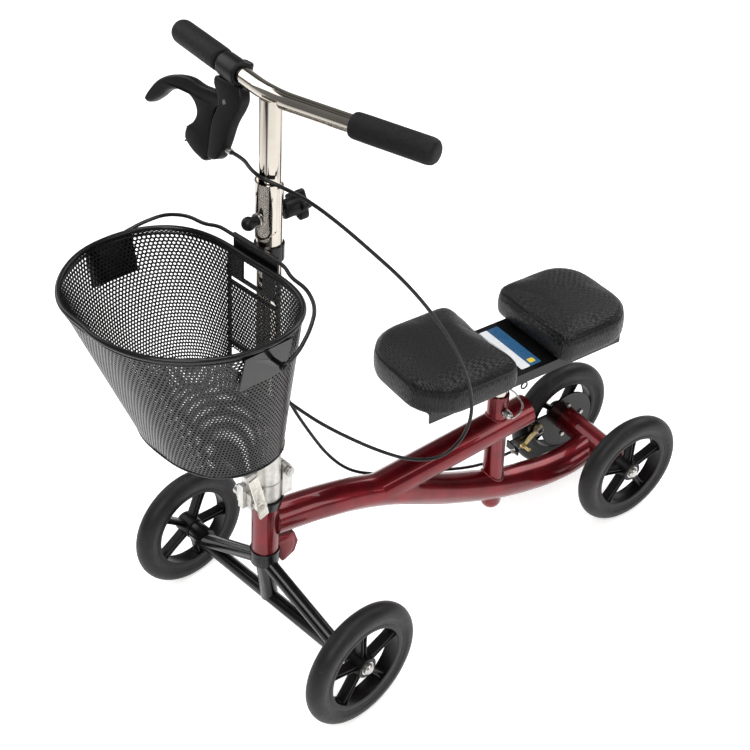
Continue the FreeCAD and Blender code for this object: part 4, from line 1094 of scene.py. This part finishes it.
def make_brake():
    """The lever's housing with its clamp, the hooked lever with its ribs, and the pivot's cap."""
    housing = slab(rounded_corners(HOUSING_OUTLINE, 9), 9, 3.2, BRAKE)
    piece = new_object("brake_housing_moulding", housing, "handlebar", NYLON, 50)
    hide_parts("brake_housing")
    lean = Matrix.Rotation(math.radians(14), 4, "X")
    along = lean @ Vector((-BAR_RUN.x, BAR_RUN.y, 0))
    middle = lean @ Vector((-88, 0, 0)) * MM
    clamp_at = middle - along * 0.020 + (lean @ Vector((0, -0.3, 0))) * MM
    ring = [(11.3, 0), (14.6, 0), (15.8, 1.2), (16, 3), (16, 37), (15.8, 38.8), (14.6, 40), (11.3, 40)]
    clamp = ring_lathe(ring, BRAKE @ turned(clamp_at, along), 56)
    new_object("brake_clamp", clamp, "handlebar", NYLON, 50)
    tab_outline = rounded_corners([(-95, -7), (-77, -7), (-77, 11), (-95, 11)], 4)
    tab = slab(tab_outline, 7, 1.6, BRAKE @ Matrix.Translation(mm(0, 14, 0)))
    new_object("brake_clamp_tab", tab, "handlebar", NYLON, 50)
    head = [(3.9, 0), (3.9, 2.2), (3.3, 3), (2, 3), (1.9, 1)]
    screw = lathe(head, BRAKE @ turned(mm(-86, 21, 2), (0, 1, 0)), 24)
    new_object("brake_clamp_screw", screw, "handlebar", STEEL, 40)
    lever = slab(smoothed(LEVER_OUTLINE, 4), 7, 3.4, BRAKE)
    blade = new_object("brake_lever_moulding", lever, "brake_lever", NYLON, 60)
    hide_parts("brake_lever")
    for index in range(5):
        z = -93 - 4.4 * index
        spine = [(-147.2 + 0.25 * index, y, z) for y in (-5, -2.5, 0, 2.5, 5)]
        wire(f"lever_rib_{index}", spine, 1.2, "brake_lever", NYLON, BRAKE, 8)
    cap = [(4.9, 0), (4.9, 0.9), (4.3, 1.6), (2, 1.8)]
    pin = lathe(cap, BRAKE @ turned(mm(-86, 9, -40), (0, 1, 0)), 32)
    new_object("lever_pivot_cap", pin, "handlebar", STEEL, 40)
    refine("front_barrel_adjuster", STEEL, 0.3)
    keep("lever_pivot_pin", STEEL)


make_brake()

KNOB_LEVEL = 747
KNOB_RADIUS, LOBES, LOBE_HEIGHT = 16.6, 5, 3.5


def make_knob():
    """The five-lobed knob on its neck, with a cap."""
    outline = []
    for step in range(100):
        turn = 2 * math.pi * step / 100
        radius = KNOB_RADIUS + LOBE_HEIGHT * math.cos(LOBES * (turn - math.radians(18)))
        outline.append(Vector((radius * math.cos(turn), radius * math.sin(turn))))
    place = COLUMN @ Matrix.Translation(mm(0, 47.5, KNOB_LEVEL))
    star = slab(outline, 7.5, 2.6, place)
    knob = new_object("height_knob_star", star, "height_knob", NYLON, 60)
    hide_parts("height_knob")
    neck = [(11, 0), (12, 1), (12, 14), (13.4, 19), (13.4, 21)]
    hub = lathe(neck, COLUMN @ turned(mm(0, 21, KNOB_LEVEL), (0, 1, 0)), 40)
    new_object("height_knob_neck", hub, "height_knob", NYLON, 50)
    cap = [(9.5, 0), (9.5, 0.8), (8.6, 1.4), (3, 1.6)]
    face = lathe(cap, COLUMN @ turned(mm(0, 55, KNOB_LEVEL), (0, 1, 0)), 40)
    new_object("height_knob_cap", face, "height_knob", NYLON, 50)


make_knob()


# ------------------------------------------------------------ metalwork kept from the frame

BLACK_NODES = (
    "front_axle", "upper_head_cup", "lower_head_cup", "seat_tray", "brake_backing_plate", "brake_drum",
)
STEEL_NODES = (
    "hinge_pin", "clamp_skewer", "lock_pin", "lock_pin_bail", "height_bolt", "rear_barrel_adjuster",
    "brake_plate_screws", "pad_screws", "front_axle_bolts", "rear_axle_bolts",
)
refine("main_frame", RED, 0.5)
for node in BLACK_NODES:
    refine(node, BLACK, 0.6)
for node in ("outer_column", "saddle_sleeve", "handlebar", "seat_post"):
    refine(node, CHROME, 0.4)
for node in ("lower_hinge", "upper_hinge"):
    refine(node, ALLOY, 1.0)
for node in STEEL_NODES:
    refine(node, STEEL, 0.3)
refine("quick_release_lever", STRAP, 0.6)
refine("cap_nut", NYLON, 0.5)
refine("brake_arm", GOLD, 0.4)
refine("pad_boards", WOOD, 0.4)
keep("head_bearings", STEEL)

MAIN_TUBE_START = (0, 7.5, 247)
MAIN_TUBE_RUN = Vector((0, 62, -7))
LUG_OUTLINE = [(6, 214), (40, 209), (47, 188), (38, 168), (25, 162), (20, 184), (14, 199), (6, 200)]


def make_lug():
    """The stop lug under the main tube, rounded as it is cast, and the fillet behind the head tube."""
    place = RAKED @ Matrix.Rotation(math.radians(90), 4, "Z")
    lug = slab(smoothed(LUG_OUTLINE, 5), 9, 3.6, place)
    new_object("stop_lug", lug, "frame", RED, 60)
    close = [(19, 0), (23.2, 1.4), (24.9, 5), (24.9, 15), (18, 15)]
    plug = lathe(close, FRAME @ turned(mm(*MAIN_TUBE_START), MAIN_TUBE_RUN.normalized()), 64)
    new_object("head_tube_fillet", plug, "frame", RED, 60)


make_lug()


# ------------------------------------------------------------ weld beads

BEAD_STEPS = 140
BEAD_SIDES = 8


def weld_bead(name, body, target, centre, along, radius, look, bead=2.1, reach=160):
    """A rippled bead where a round tube meets another piece, found by rays down the tube's wall."""
    source = bmesh.new()
    source.from_mesh(NODES[target].data)
    tree = BVHTree.FromBMesh(source)
    source.free()
    side = along.orthogonal().normalized()
    other = along.cross(side)
    spots = []
    for step in range(BEAD_STEPS):
        turn = 2 * math.pi * step / BEAD_STEPS
        out = side * math.cos(turn) + other * math.sin(turn)
        start = centre + out * (radius + 0.35) * MM
        spot, _, _, _ = tree.ray_cast(start, along, reach * MM)
        if spot is None:
            return
        spots.append(spot)
    bm = bmesh.new()
    count = len(spots)
    rows = []
    for i, spot in enumerate(spots):
        ahead = (spots[(i + 1) % count] - spots[i - 1]).normalized()
        across = ahead.cross(along).normalized()
        lift = across.cross(ahead)
        swell = bead * (1 + 0.16 * math.sin(i * 2 * math.pi / 4)) * MM
        row = []
        for k in range(BEAD_SIDES):
            turn = 2 * math.pi * k / BEAD_SIDES
            out = across * math.cos(turn) + lift * math.sin(turn)
            row.append(bm.verts.new(spot + out * swell))
        rows.append(row)
    for i in range(count):
        low, high = rows[i], rows[(i + 1) % count]
        for k in range(BEAD_SIDES):
            after = (k + 1) % BEAD_SIDES
            bm.faces.new((low[k], low[after], high[after], high[k]))
    new_object(name, from_bmesh(bm), body, look, 80)


for name, level in (("weld_seat_tube_front", 196), ("weld_seat_tube_branch", 292)):
    weld_bead(name, "frame", "main_frame", FRAME @ mm(0, 419.5, level), -Z, 17, RED)


# ------------------------------------------------------------ brake cable

BRAKE_START = FRAME.inverted() @ (BRAKE @ mm(-65.8, 0, -97)) / MM
UPPER_ROUTE = [
    tuple(BRAKE_START), (-42, 18.7, 807.1), (-14, 12, 808), (9, 13.5, 806), (28, 30, 798), (46, 57, 779),
    (67, 89, 745), (87, 121, 706), (103, 157, 661), (114, 191, 610), (120, 222, 555), (124, 245, 503),
    (126, 261, 450), (125, 265, 402), (121, 252, 363), (112, 222, 338), (98, 180, 345), (80, 138, 370),
    (62, 99, 400), (47, 65, 430), (37, 38, 460), (30, 18, 484), (27.5, 12.5, 505), (24.8, 20.2, 525.6),
    (12.2, 32.9, 538.3), (-5.4, 45.5, 538.3), (-21.4, 53.4, 525.6), (-29.5, 53.5, 505), (-30, 52, 488),
    (-30, 52, 473),
]
MIDDLE_ROUTE = [
    (-30, 52, 473), (-30, 52, 458), (-30, 57, 430), (-30, 67, 405), (-30, 78, 379), (-30, 90, 354),
]
LOWER_ROUTE = [
    (-30, 90, 354), (-30, 102, 329), (-30, 120, 295), (-31, 146, 257), (-33, 176, 227), (-33, 214, 205),
    (-33, 258, 188), (-33, 308, 166), (-32, 352, 147), (-32, 391, 132), (-36, 427, 119), (-43, 456, 109),
    (-47, 478, 104), (-47, 496, 104),
]


def make_cable(label, route):
    """One stretch of the cable's casing, a tube along its route between the two bodies it joins."""
    line = curve_points([FRAME @ mm(*point) for point in route])
    piece = new_object(label + "_casing", tube(line, 0.0025, 14), None, CASING, 80)
    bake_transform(piece)
    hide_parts(label)


for label, route, bodies, start, end in (
    ("brake_cable_upper", UPPER_ROUTE, ("handlebar", "column"), (0, 20, 800), (0, 60, 480)),
    ("brake_cable_middle", MIDDLE_ROUTE, ("column", "steering"), (0, 52, 470), (0, 90, 356)),
    ("brake_cable_lower", LOWER_ROUTE, ("steering", "frame"), (0, 92, 350), (0, 240, 190)),
):
    make_cable(label, route)


# ------------------------------------------------------------ small parts of the rear brake and the tray

COIL_RADIUS, COIL_PITCH = 6.2, 0.55
FILM_LEVEL = 379.0


def make_trim():
    """The brake's bare wire and return spring, and the two-tone film on the tray."""
    bare = [(-47, 510, 104), (-50, 518, 101), (-54, 528, 95), (-56, 537, 91)]
    wire("brake_inner_wire", bare, 0.8, "frame", STEEL, FRAME, 8)
    coil = []
    for step in range(64):
        turns = step / 8
        back = 568 + COIL_RADIUS * math.cos(2 * math.pi * turns)
        level = 112 + COIL_RADIUS * math.sin(2 * math.pi * turns)
        coil.append((-58.5 + COIL_PITCH * turns, back, level))
    wire("brake_return_spring", coil, 0.8, "frame", STEEL, FRAME, 6)
    blue = printed("film_blue", (0.02, 0.09, 0.2), (0.03, 0.12, 0.26))
    white = printed("film_white", (0.72, 0.74, 0.76), (0.8, 0.82, 0.84))
    yellow = printed("film_yellow", (0.75, 0.55, 0.05), (0.85, 0.65, 0.08))
    for name, low, high, look in (
        ("tray_film_white", (-54, 414), (54, 431), white),
        ("tray_film_blue", (-54, 431.4), (54, 452), blue),
        ("tray_film_mark", (38, 435), (48, 446), yellow),
    ):
        lift = FILM_LEVEL + (0.5 if look is yellow else 0.3)
        bm = bmesh.new()
        corners = [(low[0], low[1]), (high[0], low[1]), (high[0], high[1]), (low[0], high[1])]
        outline = rounded_corners(corners, 2)
        loops = [[mm(p.x, p.y, z) for p in outline] for z in (FILM_LEVEL, lift)]
        skin(bm, loops)
        new_object(name, from_bmesh(bm, FRAME), "seat", look, 30)


make_trim()
